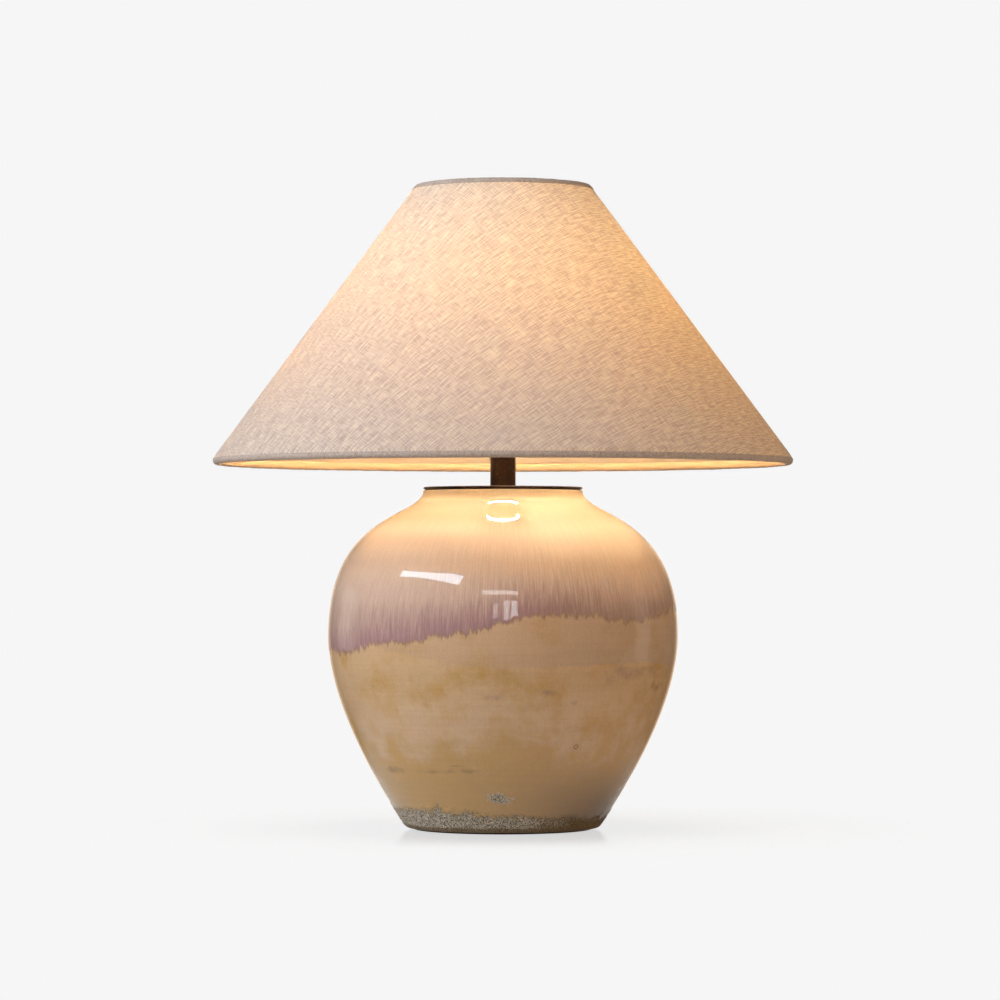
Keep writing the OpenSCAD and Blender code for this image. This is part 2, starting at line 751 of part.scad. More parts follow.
module switch_knob() {
  color("#1B1A18") sideways(switch_az, switch_z, knob_start) difference() {
    rotate_extrude() polygon([[switch_r, 0], [knob_neck_r, 0], [knob_neck_r, knob_neck_h / 2],
      [knob_r - knob_edge, knob_neck_h], [knob_r, knob_neck_h + knob_edge], [knob_r, knob_len - knob_crown],
      [knob_r - knob_crown, knob_len], [0, knob_len], [0, knob_len - knob_end_t],
      [switch_r, knob_len - knob_end_t]]);
    for (i = [0:knob_flutes - 1]) rotate([0, 0, i * 360 / knob_flutes])
      translate([knob_r + flute_r / 2, 0, knob_neck_h]) cylinder(r = flute_r, h = knob_len, $fn = 16);
  }
}

module bulb_contact() {
  color("#C8C4BC") translate([0, 0, bulb_z]) rotate_extrude()
    polygon([[0, 0], [tip_r, 0], [tip_seat_r, tip_h], [0, tip_h]]);
}

module bulb_insulator() {
  color("#1C1C1C") translate([0, 0, bulb_z + tip_h])
    cylinder(r1 = glass_low_r, r2 = base_r - base_depth - glass_in, h = glass_h);
}

module bulb_base() {
  color("#C9C5BA") translate([0, 0, thread_z])
    ring_thread(base_r, base_depth, base_pitch, base_h, base_r - base_depth - base_sheet);
}

module bulb_board() {
  color("#E4E4E0") translate([0, 0, split_z - board_drop - board_t]) {
    cylinder(r = split_r - globe_wall - board_edge, h = board_t);
    for (i = [0:led_count - 1]) rotate([0, 0, i * 360 / led_count])
      translate([led_ring_r, -led_w / 2, board_t - weld]) cube([led_w, led_w, led_h + weld]);
  }
}

module bulb_body() {
  floor_top = collar[1] + body_floor;
  inner = [for (p = curve(body_curve, 12, globe_wall))
    if (p[1] < split_z - body_lip && p[1] > floor_top) p];
  color("#E9E6DF") rotate_extrude($fn = 96) polygon(concat([[0, base_top], [base_r, base_top]],
    curve(body_curve, 12), [split - [globe_wall, 0]], flip(inner), [[0, floor_top]]));
}

module bulb_globe() {
  inner_r = globe_r - globe_wall;
  color("#FFF3DC") translate([0, 0, globe_z]) rotate_extrude($fn = 96) polygon(concat(
    arc([0, 0], globe_r, split_a, 90, 20),
    flip(arc([0, 0], inner_r, -asin(globe_split / inner_r), 90, 20))));
}

module spider_arm(az) {
  rotate([0, 0, az]) {
    translate([hub_r - arm_lap, 0, arm_z]) rotate([0, 90, 0])
      cylinder(r = arm_r, h = arm_out - arm_bend - hub_r + arm_lap);
    wire_bend(arm_out - arm_bend, arm_z + arm_bend, arm_bend, -90, 0, arm_r - wire_step, weld);
    translate([arm_out, 0, arm_z + arm_bend]) cylinder(r = arm_r, h = ring_z - arm_z - arm_bend);
    translate([arm_out, 0, ring_z]) sphere(r = arm_r, $fn = 32);
  }
}

module spider() {
  color("#8C8A84") difference() {
    union() {
      translate([0, 0, seat_z]) cylinder(r = hub_r, h = hub_t);
      for (i = [0:arm_count - 1]) spider_arm(arm_az + i * 360 / arm_count);
    }
    translate([0, 0, seat_z - cut]) cylinder(r = stud_r + stud_gap, h = hub_t + 2 * cut + arm_r);
  }
}

module wire_ring(centre, r) {
  rotate_extrude($fn = 180) translate(centre) circle(r = r, $fn = 32);
}

module shade_top_ring() {
  color("#C9C5BA") wire_ring(top_ring, top_wire_r);
}

module shade_bottom_ring() {
  color("#C9C5BA") wire_ring(low_ring, low_wire_r);
}

// The shade's section between two depths under the linen's face, longer at each end by a margin
module shade_strip(depth0, depth1, margin = 0) {
  polygon([linen_top - depth0 * cone_out - margin * cone_down,
    linen_low - depth0 * cone_out + margin * cone_down,
    linen_low - depth1 * cone_out + margin * cone_down,
    linen_top - depth1 * cone_out - margin * cone_down]);
}

module shade_liner() {
  color("#F3EBDD") rotate_extrude($fn = 180) shade_strip(linen_t + glue_t, layers_t);
}

module shade_fabric() {
  color("#D6BE9A") rotate_extrude($fn = 180) shade_strip(0, linen_t);
}

module shade_seam() {
  color("#CBB391") intersection() {
    rotate_extrude($fn = 180) shade_strip(-seam_t - glue_t, -glue_t, -seam_short);
    rotate([0, 0, seam_az]) translate([0, -seam_w / 2, linen_bottom_z - cut])
      cube([linen_bottom_r + cut_reach, seam_w, linen_h + 2 * cut]);
  }
}

// A tape rolled round a ring's wire: a hollow roll, open at the slit where the linen goes in
module rolled_trim(centre, roll_r, wire_r, slit_a) {
  rotate_extrude($fn = 180) difference() {
    translate(centre) circle(r = roll_r, $fn = 48);
    translate(centre) circle(r = wire_r + glue_t, $fn = 32);
    translate(centre) rotate([0, 0, slit_a]) translate([0, -trim_slit / 2])
      square([roll_r + cut, trim_slit]);
    shade_strip(-cut, layers_t + glue_t, glue_t);
  }
}

module shade_trim_top() {
  color("#A79B88") difference() {
    rolled_trim(top_ring, top_roll_r, top_wire_r, top_slit_a);
    for (i = [0:arm_count - 1]) rotate([0, 0, arm_az + i * 360 / arm_count])
      translate([arm_out, 0, ring_z - 2 * top_roll_r]) {
        cylinder(r = arm_r + glue_t, h = 2 * top_roll_r);
        translate([0, 0, 2 * top_roll_r]) sphere(r = arm_r + glue_t, $fn = 32);
      }
  }
}

module shade_trim_bottom() {
  color("#A79B88") rolled_trim(low_ring, low_roll_r, low_wire_r, low_slit_a);
}

module finial_insert() {
  color("#B08D4A") translate([0, 0, hub_top]) ring(insert_r, stud_r + stud_gap, insert_h);
}

module finial() {
  ball_at = [0, finial_ball_h];
  waist = ball_at + finial_ball_r * heading(waist_a);
  cove = curve([[finial_foot_r, finial_foot_h], [waist[0], finial_foot_h + foot_pull_up],
    waist - [0, waist_pull], waist], 6);
  ball = arc(ball_at, finial_ball_r, waist_a, crown_a, 18);
  knop = arc([0, ball[len(ball) - 1][1] + knop_lift], knop_r, knop_a, 90, 8);
  bore_r = insert_r + insert_gap;
  bore_h = insert_h + insert_end_gap;
  color("#35200F") translate([0, 0, hub_top]) rotate_extrude($fn = 96) polygon(concat(
    [[bore_r, finial_gap], [finial_foot_r - finial_edge, finial_gap],
    [finial_foot_r, finial_gap + finial_edge]], cove, tail(ball), knop, [[0, bore_h], [bore_r, bore_h]]));
}

base_felt();
jar();
cord_grommet();
bottom_gasket();
bottom_washer();
lock_washer();
bottom_nut();
centre_rod();
cap_gasket();
jar_cap();
cap_nut();
neck_tube();
harp_saddle();
harp_sleeve_left();
harp_sleeve_right();
harp();
harp_stud();
socket_cap();
socket_shell();
socket_insulator();
socket_body();
screw_shell();
centre_contact();
terminal_screws();
switch_shaft();
switch_knob();
bulb_contact();
bulb_insulator();
bulb_base();
bulb_board();
bulb_body();
bulb_globe();
spider();
shade_top_ring();
shade_bottom_ring();
shade_liner();
shade_fabric();
shade_seam();
shade_trim_top();
shade_trim_bottom();
finial_insert();
finial();
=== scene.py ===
"""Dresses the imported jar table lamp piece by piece, as it is put together, and sets it in a pale studio."""
import math

import bpy
import numpy as np
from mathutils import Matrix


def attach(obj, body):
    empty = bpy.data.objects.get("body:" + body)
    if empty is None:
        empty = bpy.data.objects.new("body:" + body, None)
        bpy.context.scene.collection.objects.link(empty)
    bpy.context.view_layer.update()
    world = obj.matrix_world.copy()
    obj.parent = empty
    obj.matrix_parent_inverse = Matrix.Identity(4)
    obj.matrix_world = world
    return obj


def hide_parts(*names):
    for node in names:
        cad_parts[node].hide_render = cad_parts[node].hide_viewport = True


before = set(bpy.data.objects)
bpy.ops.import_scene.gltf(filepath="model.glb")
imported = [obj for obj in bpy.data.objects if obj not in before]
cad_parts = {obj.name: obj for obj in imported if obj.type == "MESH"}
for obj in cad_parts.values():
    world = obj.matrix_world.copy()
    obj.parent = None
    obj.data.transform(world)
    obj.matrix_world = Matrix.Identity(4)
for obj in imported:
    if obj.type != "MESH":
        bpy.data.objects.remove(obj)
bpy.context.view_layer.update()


# --- Base felt -------------------------------------------------------------------------------
# A disc of pressed wool felt, stamped from a sheet and stuck under the foot with contact cement,
# so that the hard foot doesn't scratch the table. Its stamped edge is a little furry.
felt_radius = 0.084
felt_thickness = 0.0015
felt_fibre = 0.0008  # wool fibres lie in tufts of about 0.8 mm
felt_brown, felt_pale = "#4A3B30", "#6B5848"
felt_edge = felt_thickness * 0.3  # how far the press has rounded its edge
felt_middle = 0.01  # the inmost ring of the mesh, closed by a cap
felt_rings, felt_steps = 14, 360
fur_size, fur_depth = 0.002, 0.0025  # tufts at the edge in metres, and their depth as a share of the radius


def to_linear(code):
    """Turns an sRGB hex colour into the linear colour that a shader takes."""
    parts = [int(code[i:i + 2], 16) / 255 for i in (1, 3, 5)]
    return [p / 12.92 if p <= 0.04045 else ((p + 0.055) / 1.055) ** 2.4 for p in parts] + [1]


def add_node(tree, kind, settings, links):
    """Adds a shader node. Settings go to its options or sockets, links join sockets to other nodes."""
    made = tree.nodes.new("ShaderNode" + kind)
    for key, value in settings.items():
        if isinstance(key, str) and hasattr(made, key):
            setattr(made, key, value)
        else:
            made.inputs[key].default_value = to_linear(value) if isinstance(value, str) else value
    for key, source in links.items():
        tree.links.new(source.outputs[0] if hasattr(source, "outputs") else source, made.inputs[key])
    return made


def new_material(name):
    """An empty node material, and its node tree."""
    made = bpy.data.materials.new(name)
    made.use_nodes = True
    made.node_tree.nodes.clear()
    return made, made.node_tree


# the helpers below add to "tree", which is the node tree of the material at hand
def noise(vector, scale, detail, roughness=0.5):
    """A node of soft chance values, so many lumps to the metre."""
    return add_node(tree, "TexNoise", {"Scale": scale, "Detail": detail, "Roughness": roughness},
                    {"Vector": vector})


def stretched(vector, scale):
    """A node that scales a vector's three parts. A small scale draws a pattern out that way."""
    return add_node(tree, "Mapping", {"Scale": scale}, {"Vector": vector})


def object_spot():
    """The output that gives each spot's place on its object in metres."""
    return add_node(tree, "TexCoord", {}, {}).outputs["Object"]


def blend_in(amount, first, second, mode="MIX"):
    """A node that lays the second colour over the first by that amount."""
    given = {"Fac": amount, "Color1": first, "Color2": second}
    fixed = {key: value for key, value in given.items() if isinstance(value, (str, int, float))}
    joined = {key: value for key, value in given.items() if key not in fixed}
    return add_node(tree, "MixRGB", {"blend_type": mode, **fixed}, joined)


def bumps(height, strength, depth):
    """A node that tilts the surface as if it had bumps that deep in metres."""
    return add_node(tree, "Bump", {"Strength": strength, "Distance": depth}, {"Height": height})


def show(shader):
    """Makes the shader the surface of the material."""
    add_node(tree, "OutputMaterial", {}, {"Surface": shader})


def skin(name, grid, wrap_rows, wrap_columns, capped=False):
    """A mesh object of four-sided faces over a grid of points, joined end to end where it wraps."""
    rows, columns = grid.shape[:2]
    number = np.arange(rows * columns).reshape(rows, columns)
    a = number if wrap_rows else number[:-1]
    b = np.roll(number, -1, 0) if wrap_rows else number[1:]
    corners = [a, b, np.roll(b, -1, 1), np.roll(a, -1, 1)]
    if not wrap_columns:
        corners = [c[:, :-1] for c in corners]
    faces = np.stack(corners, -1).reshape(-1, 4).tolist()
    if capped:
        faces += [number[0].tolist(), number[-1][::-1].tolist()]
    mesh = bpy.data.meshes.new(name)
    mesh.from_pydata(grid.reshape(-1, 3).tolist(), [], faces)
    mesh.shade_smooth()
    made = bpy.data.objects.new(name, mesh)
    bpy.context.scene.collection.objects.link(made)
    return made


def turned(outline, steps):
    """The grid of points that an outline of (radius, height) makes as it goes round the lamp's axis."""
    outline = np.asarray(outline, float)
    angle = np.arange(steps) * 2 * math.pi / steps
    radius, height = outline[:, :1], np.repeat(outline[:, 1:], steps, 1)
    return np.stack([radius * np.cos(angle), radius * np.sin(angle), height], -1)


def unevenness(points, size, seed):
    """Smooth chance heights from -1 to 1 at the points, in lumps about that size across."""
    cells = 32  # the chances repeat after so many lumps
    table = np.random.RandomState(seed).uniform(-1, 1, (cells, cells, cells))
    low = np.floor(points / size).astype(int)
    part = points / size - low
    part = part * part * (3 - 2 * part)
    total = 0
    for corner in np.ndindex(2, 2, 2):
        share = np.prod(np.where(corner, part, 1 - part), -1)
        pick = (low + corner) % cells
        total = total + table[pick[..., 0], pick[..., 1], pick[..., 2]] * share
    return total


ring_radii = np.linspace(felt_middle, felt_radius - felt_edge, felt_rings)
felt_outline = ([(r, 0) for r in ring_radii]
                + [(felt_radius, felt_edge), (felt_radius, felt_thickness - felt_edge)]
                + [(r, felt_thickness) for r in ring_radii[::-1]])
grid = turned(felt_outline, felt_steps)
at_edge = np.hypot(grid[..., :1], grid[..., 1:2]) > felt_radius - felt_edge / 2
fur = unevenness(grid, fur_size, 1)[..., None] * at_edge
grid[..., :2] *= 1 - fur_depth * (fur + 1)
felt = skin("base_felt_disc", grid, False, True, capped=True)

felt_material, tree = new_material("pressed_wool_felt")
tufts = noise(object_spot(), 1 / felt_fibre, 5, 0.7)
colour = blend_in(tufts, felt_brown, felt_pale)
lie = bumps(tufts, 0.6, 0.0004)
# matt and soft: no shine, and a pale bloom at a low angle from the loose fibres
wool = add_node(tree, "BsdfPrincipled", {"Roughness": 0.95, "Sheen Weight": 0.4, "Specular IOR Level": 0.2},
                {"Base Color": colour, "Normal": lie})
show(wool)
felt.data.materials.append(felt_material)
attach(felt, "root")
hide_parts("base_felt")


# --- The jar ---------------------------------------------------------------------------------
# A stoneware jar, thrown on a wheel, with a turned foot and a recess under it. It is dipped in a
# cream glaze over an ochre one, which run in the kiln: the cream one stops in mauve teeth round
# the belly, and the glaze is dry and crusted at the foot. A hole in the foot lets the cord out.
jar_steps = 768
jar_floor, jar_recess, jar_recess_top = 0.0275, 0.080, 0.0195
jar_wall, wall_low, wall_high = 0.007, 0.038, 0.303  # the wall is of one thickness between these heights
rod_hole = 0.00525
cord_hole, cord_collar, cord_height = 0.00435, 0.0063, 0.0125
run_map_radius = 0.15  # the runs keep their number from belly to neck, so they are mapped on one drum
ring_depth, ring_spacing = 0.00003, 0.009
out_of_round_depth, out_of_round_size = 0.00035, 0.09
tooth_length, tooth_width = 0.004, 0.005
run_lip = 0.00030  # how thick the cream glaze stands at the end of its run
crust_lump, lump_height, crumb_height = 0.0032, 0.00050, 0.00030
patch_at, patch_up = 268, 34.6  # a dry patch over the crust: its azimuth in degrees and height in mm


def bend(start, leave, arrive, end, count):
    """Points in metres along a smooth curve given in millimetres, without the last one."""
    t = np.linspace(0, 1, count, endpoint=False)[:, None]
    a, b, c, d = (np.array(p) / 1000 for p in (start, leave, arrive, end))
    return (1 - t) ** 3 * a + 3 * (1 - t) ** 2 * t * b + 3 * (1 - t) * t * t * c + t ** 3 * d


# the outline in millimetres, as in the CAD: foot, belly, shoulder, collar and rim, then the inside
outside = np.vstack([
    bend((81, 1.5), (83, 1.5), (86, 1.5), (88, 1.5), 6),
    bend((88, 1.5), (90.17, 1.5), (91.8, 2.33), (92.9, 4), 6),
    bend((92.9, 4), (124.28, 51.59), (165.7, 124), (165.7, 183.5), 176),
    bend((165.7, 183.5), (165.7, 258.5), (131.52, 284.6), (94.5, 302.9), 124),
    bend((94.5, 302.9), (82.31, 308.93), (75.9, 314.4), (75.9, 319.8), 22),
    bend((75.9, 319.8), (75.9, 320.46), (75.36, 321), (74.7, 321), 5)])
slope = np.gradient(outside, axis=0)
outward = np.stack([slope[:, 1], -slope[:, 0]], -1) / np.hypot(slope[:, :1], slope[:, 1:])
even_wall = (outside[:, 1] > wall_low) & (outside[:, 1] < wall_high)
wall_from = (outside - jar_wall * outward)[even_wall][::-8]
inside = np.vstack([bend((74.7, 321), (72.5, 321), (71, 321), (70.1, 321), 4),
                    bend((70.1, 321), (69.44, 321), (68.9, 320.46), (68.9, 319.8), 4),
                    [(0.0689, 0.312)], wall_from,
                    [(wall_from[-1][0] - 0.006, jar_floor + 0.001), (wall_from[-1][0] - 0.009, jar_floor)],
                    [(r, jar_floor) for r in (0.06, 0.03, 0.01, rod_hole)],
                    [(r, jar_recess_top) for r in (rod_hole, 0.01, 0.03, 0.06, jar_recess)],
                    [(jar_recess, 0.0105), (jar_recess, 0.0021), (0.0804, 0.0015)]])
grid = turned(np.vstack([outside, inside]), jar_steps)


def wavy(angle, mean, *waves):
    """A height in metres that waves round the jar. Each wave is its height in mm, number and phase."""
    return (mean + sum(high * np.cos(n * angle - math.radians(at)) for high, n, at in waves)) / 1000


def mark(angle, height, at, up, half_wide, half_high):
    """A soft round mark, 1 at its middle, at that azimuth in degrees and height in millimetres."""
    off = (np.degrees(angle) - at + 180) % 360 - 180
    return np.exp(-(off / half_wide) ** 2 - ((height * 1000 - up) / half_high) ** 2)


def run_edge(angle):
    """Height in metres at which the cream glaze stopped running, all round the jar."""
    return wavy(angle, 186.5, (14.5, 1, -28), (7.7, 2, -96), (3.5, 3, 20), (2.0, 4, 15), (1.3, 5, -53),
                (3.0, 6, -62))


def dip_edge(angle):
    """Height in metres of the faint edge of an earlier dip under it."""
    return wavy(angle, 161.5, (11.5, 1, -164), (5.5, 2, 30), (6.4, 3, -132))


def crust_edge(angle):
    """Height in metres of the dry crust at the foot, with the two tongues that stand up from it."""
    return (wavy(angle, 20.8, (3.6, 1, -165), (0.9, 2, 70), (0.8, 5, 40))
            + 0.006 * mark(angle, 0, 235, 0, 2.6, 1) + 0.004 * mark(angle, 0, 251, 0, 2.6, 1))


def on_drum(angle, height):
    """Spots of the jar moved straight in or out on a drum, so that the runs stay side by side."""
    return np.stack([np.cos(angle), np.sin(angle), height / run_map_radius], -1) * run_map_radius


def read_points(items, field):
    """The points that a mesh's vertices or faces hold under that name, one to a row."""
    points = np.empty(len(items) * 3)
    items.foreach_get(field, points)
    return points.reshape(-1, 3)


def rise(value, low, high):
    """0 below low, 1 above high, and smooth between."""
    share = np.clip((value - low) / (high - low), 0, 1)
    return share * share * (3 - 2 * share)


# the thrower's rings, the thick end of the run and the lumps of the crust are real relief
face = grid[:len(outside)]
angle, height = np.arctan2(face[..., 1], face[..., 0]), face[..., 2]
hand_rings = ring_depth * unevenness(face * (0.12, 0.12, 1), ring_spacing, 2)
out_of_round = out_of_round_depth * unevenness(face, out_of_round_size, 3)
teeth = tooth_length * unevenness(on_drum(angle, height) * (1, 1, 0.1), tooth_width, 4)
over = height - run_edge(angle) + teeth
run_relief = run_lip * rise(over, -0.0004, 0.0012) * (1 - rise(over, 0.006, 0.04))
in_crust = 1 - rise(height - crust_edge(angle) + 0.004 * unevenness(face, 0.008, 5), -0.002, 0.002)
in_crust = np.maximum(in_crust, mark(angle, height, patch_at, patch_up, 4, 3.4))
lumps = (lump_height * unevenness(face, crust_lump, 6) + crumb_height * unevenness(face, crust_lump / 2, 7)
         + 0.0002) * in_crust
# the cap and the felt meet a plain rim and foot
free_of_ends = rise(height, 0.0017, 0.006) * (1 - rise(height, 0.306, 0.317))
moved = (hand_rings + out_of_round + run_relief + lumps) * free_of_ends
way = outward[:, None, :]
face[..., 0] += moved * way[..., 0] * np.cos(angle)
face[..., 1] += moved * way[..., 0] * np.sin(angle)
face[..., 2] += moved * way[..., 1]
jar = skin("stoneware_jar", grid, True, True)

# the cord's hole is drilled through the foot's wall at the back, with a seat for the grommet's lip
drill_from, seat_from, drill_to, drill_point = 0.074, 0.0915, 0.104, 0.0002
bit = turned([(drill_point, drill_from), (cord_hole, drill_from), (cord_hole, seat_from),
              (cord_collar, seat_from), (cord_collar, drill_to), (drill_point, drill_to)], 64)
bit = np.stack([bit[..., 0], bit[..., 2], cord_height - bit[..., 1]], -1)  # laid down to point at +Y
drill_bit = skin("drill_bit", bit, True, True)
cut = jar.modifiers.new("cord_hole", "BOOLEAN")
cut.object, cut.operation, cut.solver = drill_bit, "DIFFERENCE", "EXACT"
drilled = bpy.data.meshes.new_from_object(jar.evaluated_get(bpy.context.evaluated_depsgraph_get()))
jar.modifiers.clear()
jar.data = drilled
bpy.data.objects.remove(drill_bit)

# values on the mesh that the glaze's colours follow: heights over each edge, and marks seen in the photo
spots = read_points(drilled.vertices, "co")
angle, height = np.arctan2(spots[:, 1], spots[:, 0]), spots[:, 2]
run_map = drilled.attributes.new("run_map", "FLOAT_VECTOR", "POINT")
run_map.data.foreach_set("vector", on_drum(angle, height).ravel())
smudges = (mark(angle, height, 267, 130, 4, 5) + mark(angle, height, 285, 134, 4, 4)
           + mark(angle, height, 295, 124, 2, 3) + 0.8 * mark(angle, height, 312, 149, 12, 12)
           + 0.6 * mark(angle, height, 334, 152, 14, 10))
ochres = (mark(angle, height, 217, 60, 9, 5) + mark(angle, height, 238, 59, 8, 3)
          + 0.9 * mark(angle, height, 256, 61, 10, 3) + mark(angle, height, 250, 65.5, 6, 0.9)
          + 0.7 * mark(angle, height, 334, 136, 8, 7) + 0.5 * mark(angle, height, 244, 8, 5, 3))
pinks = (mark(angle, height, 238, 94, 9, 13) + 0.6 * mark(angle, height, 262, 104, 16, 9)
         + 0.5 * mark(angle, height, 222, 122, 14, 12))
for name, values in (("over_run", height - run_edge(angle)), ("over_dip", height - dip_edge(angle)),
                     ("over_crust", height - crust_edge(angle)), ("smudges", smudges), ("ochres", ochres),
                     ("pinks", pinks), ("dry_patch", mark(angle, height, patch_at, patch_up, 6.5, 5.0))):
    drilled.attributes.new(name, "FLOAT", "POINT").data.foreach_set("value", values.astype(np.float32))

glaze, tree = new_material("reactive_glaze_on_stoneware")
spot = object_spot()
around = add_node(tree, "Attribute", {"attribute_name": "run_map"}, {}).outputs["Vector"]
over_run, over_dip, over_crust, smudged, ochred, pinked, dried = (
    add_node(tree, "Attribute", {"attribute_name": name}, {}).outputs["Fac"]
    for name in ("over_run", "over_dip", "over_crust", "smudges", "ochres", "pinks", "dry_patch"))


def between(value, low, high, start=0, end=1):
    """A node that goes smoothly from start to end as the value goes from low to high."""
    return add_node(tree, "MapRange", {"interpolation_type": "SMOOTHSTEP", "From Min": low, "From Max": high,
                                       "To Min": start, "To Max": end}, {"Value": value})


def plus(first, second, times=1):
    """A node that adds the second value, so many times, to the first. Either may be a plain number."""
    given = {0: second, 2: first}
    fixed = {key: value for key, value in given.items() if isinstance(value, (int, float))}
    joined = {key: value for key, value in given.items() if key not in fixed}
    return add_node(tree, "Math", {"operation": "MULTIPLY_ADD", 1: times, **fixed}, joined)


def centred(value):
    """A node that takes a half off chance values, so that they go either way from 0."""
    return plus(value, -0.5)


def product(first, second):
    """A node that multiplies two values."""
    return add_node(tree, "Math", {"operation": "MULTIPLY"}, {0: first, 1: second})


def larger(first, second):
    """A node that takes the larger of two values."""
    return add_node(tree, "Math", {"operation": "MAXIMUM"}, {0: first, 1: second})


# hair-fine runs down the jar, drawn 1 mm apart: coarser than the real ones, so that they show
hairs = noise(stretched(around, (1, 1, 0.04)), 1000, 3, 0.6)
strands = noise(stretched(around, (1, 1, 0.09)), 560, 4, 0.65)
teeth = noise(stretched(around, (1, 1, 0.12)), 120, 4, 0.65)
bands = noise(stretched(spot, (0.04, 0.04, 1)), 240, 4, 0.65)
clouds = noise(spot, 24, 6, 0.62)
mottle = noise(spot, 70, 6, 0.7)
grain = noise(spot, 1300, 3, 0.6)
crumbs = noise(spot, 800, 4, 0.75)
ragged = plus(plus(over_run, centred(teeth), 0.024), centred(strands), 0.015)
in_run = between(ragged, -0.0016, 0.0018)
combed = plus(plus(ragged, centred(strands), 0.038), centred(hairs), 0.034)
mauve_part = between(combed, 0.001, 0.042, 1, 0)
mauve_low = between(over_run, 0.003, 0.054, 1, 0)
mauve_amount = product(mauve_part, mauve_low)

# under the run: beige over ochre in clouds, with more ochre near the foot
axes = add_node(tree, "SeparateXYZ", {}, {"Vector": spot})
up = axes.outputs["Z"]
rightward = between(axes.outputs["X"], -0.02, 0.13)
leftward = between(rightward, 0, 0.5, 1, 0)
low_down = between(up, 0.025, 0.125, 0.36, -0.06)
ochre_share = between(plus(plus(low_down, clouds), mottle, 0.35), 0.54, 0.90)
lower = blend_in(ochre_share, "#CDA67C", "#BF914E")
lower = blend_in(between(plus(pinked, mottle, 0.8), 0.75, 1.25, 0, 0.6), lower, "#D5AA84")
above_dip = between(plus(over_dip, centred(mottle), 0.010), -0.001, 0.002)
dipped = blend_in(rightward, "#C09C7C", "#AE9788")
under = blend_in(between(above_dip, 0, 1, 0, 0.45), lower, dipped)
under = blend_in(between(plus(smudged, centred(mottle), 2.4), 0.35, 1.2, 0, 0.5), under, "#94766A")
under = blend_in(between(plus(ochred, centred(mottle), 2.4), 0.35, 1.2, 0, 0.7), under, "#8E6A3C")
under = blend_in(between(bands, 0.35, 0.65, 0.07, 0), under, "#7E5F3E")

# the run: cream above, going lilac as it thins, with mauve strands combed down to its toothed edge
# the cream is painted lighter in steps up the shoulder and palest at the neck: partly the glaze's own cream,
# partly painted light from the bulb and the lit shade above it; the darker step at 0.28 to 0.30 m is painted
# shade set against that light
cream = "#B49484"
for low, high, shade in ((0.200, 0.226, "#C9AC98"), (0.222, 0.250, "#DABFA4"), (0.248, 0.266, "#E4D0B8"),
                         (0.280, 0.296, "#C0B097"), (0.308, 0.316, "#F3E2C2")):
    cream = blend_in(between(up, low, high), cream, shade)
# painted shade: on the left, below about 0.28 m, the cream is painted darker where the lit zone on the
# shoulder ends
cream = blend_in(product(leftward, between(up, 0.27, 0.29, 0.4, 0)), cream, "#BC9F8A")
band_colour = blend_in(rightward, "#A07976", "#977B6B")
thinner = between(rightward, 0.2, 1, 0.95, 0.62)
mauve = blend_in(product(mauve_amount, thinner), cream, band_colour)
run = blend_in(in_run, under, mauve)
edge_brown = product(between(ragged, -0.004, 0.0, 0, 1), between(ragged, 0.0, 0.003, 1, 0))
run = blend_in(between(plus(edge_brown, centred(teeth), 1.2), 0.3, 1.3, 0, 0.5), run, "#7F6140")
hair_depth = product(between(in_run, 0, 1, 0.25, 1), between(over_run, 0.02, 0.08, 1, 0.5))
run = blend_in(hair_depth, run, between(hairs, 0.3, 0.7, 0.91, 1.09), "MULTIPLY")
run = blend_in(hair_depth, run, between(strands, 0.3, 0.7, 0.95, 1.05), "MULTIPLY")
run = blend_in(1, run, between(grain, 0.3, 0.7, 0.92, 1.08), "MULTIPLY")
specks = add_node(tree, "TexVoronoi", {"Scale": 150}, {"Vector": spot})
run = blend_in(between(specks, 0.03, 0.07, 0.4, 0), run, "#6B4E34")
# one burst bubble left a crater, with a dark ring round it
crater_angle, crater_height = math.radians(-61), 0.083
crater_radius = np.interp(crater_height, outside[:, 1], outside[:, 0])
crater = (crater_radius * math.cos(crater_angle), crater_radius * math.sin(crater_angle), crater_height)
from_crater = add_node(tree, "VectorMath", {"operation": "DISTANCE", 1: crater}, {0: spot}).outputs["Value"]
crater_rim = product(between(from_crater, 0.0010, 0.0018), between(from_crater, 0.0020, 0.0030, 1, 0))
run = blend_in(between(crater_rim, 0, 1, 0, 0.7), run, "#6A4A2C")

# the crust: salt and pepper grains, browner at the very foot, and darker and browner at the right: there
# partly the crust's own colour and partly painted shade on the side away from the left lights
salt = blend_in(between(crumbs, 0.42, 0.60), "#55462C", "#DDCBB2")
rust = blend_in(between(crumbs, 0.42, 0.62), "#3E2C14", "#94753F")
foot = blend_in(between(crumbs, 0.40, 0.66), "#574020", "#916F3E")
at_foot = between(up, 0.004, 0.0085, 1, 0)
crust_colour = blend_in(between(plus(rightward, centred(mottle), 0.8), 0.12, 0.62), salt, rust)
crust_colour = blend_in(between(plus(at_foot, centred(mottle), 2), 0.3, 0.9, 0, 0.85), crust_colour, foot)
crust_line = plus(plus(over_crust, centred(crumbs), 0.024), centred(mottle), 0.020)
crust_low = between(crust_line, -0.0055, -0.0015, 1, 0)
patch_line = plus(plus(dried, centred(crumbs), 1.4), centred(mottle), 2.4)
crusted = larger(crust_low, product(between(patch_line, 0.42, 0.54), between(dried, 0.05, 0.2)))
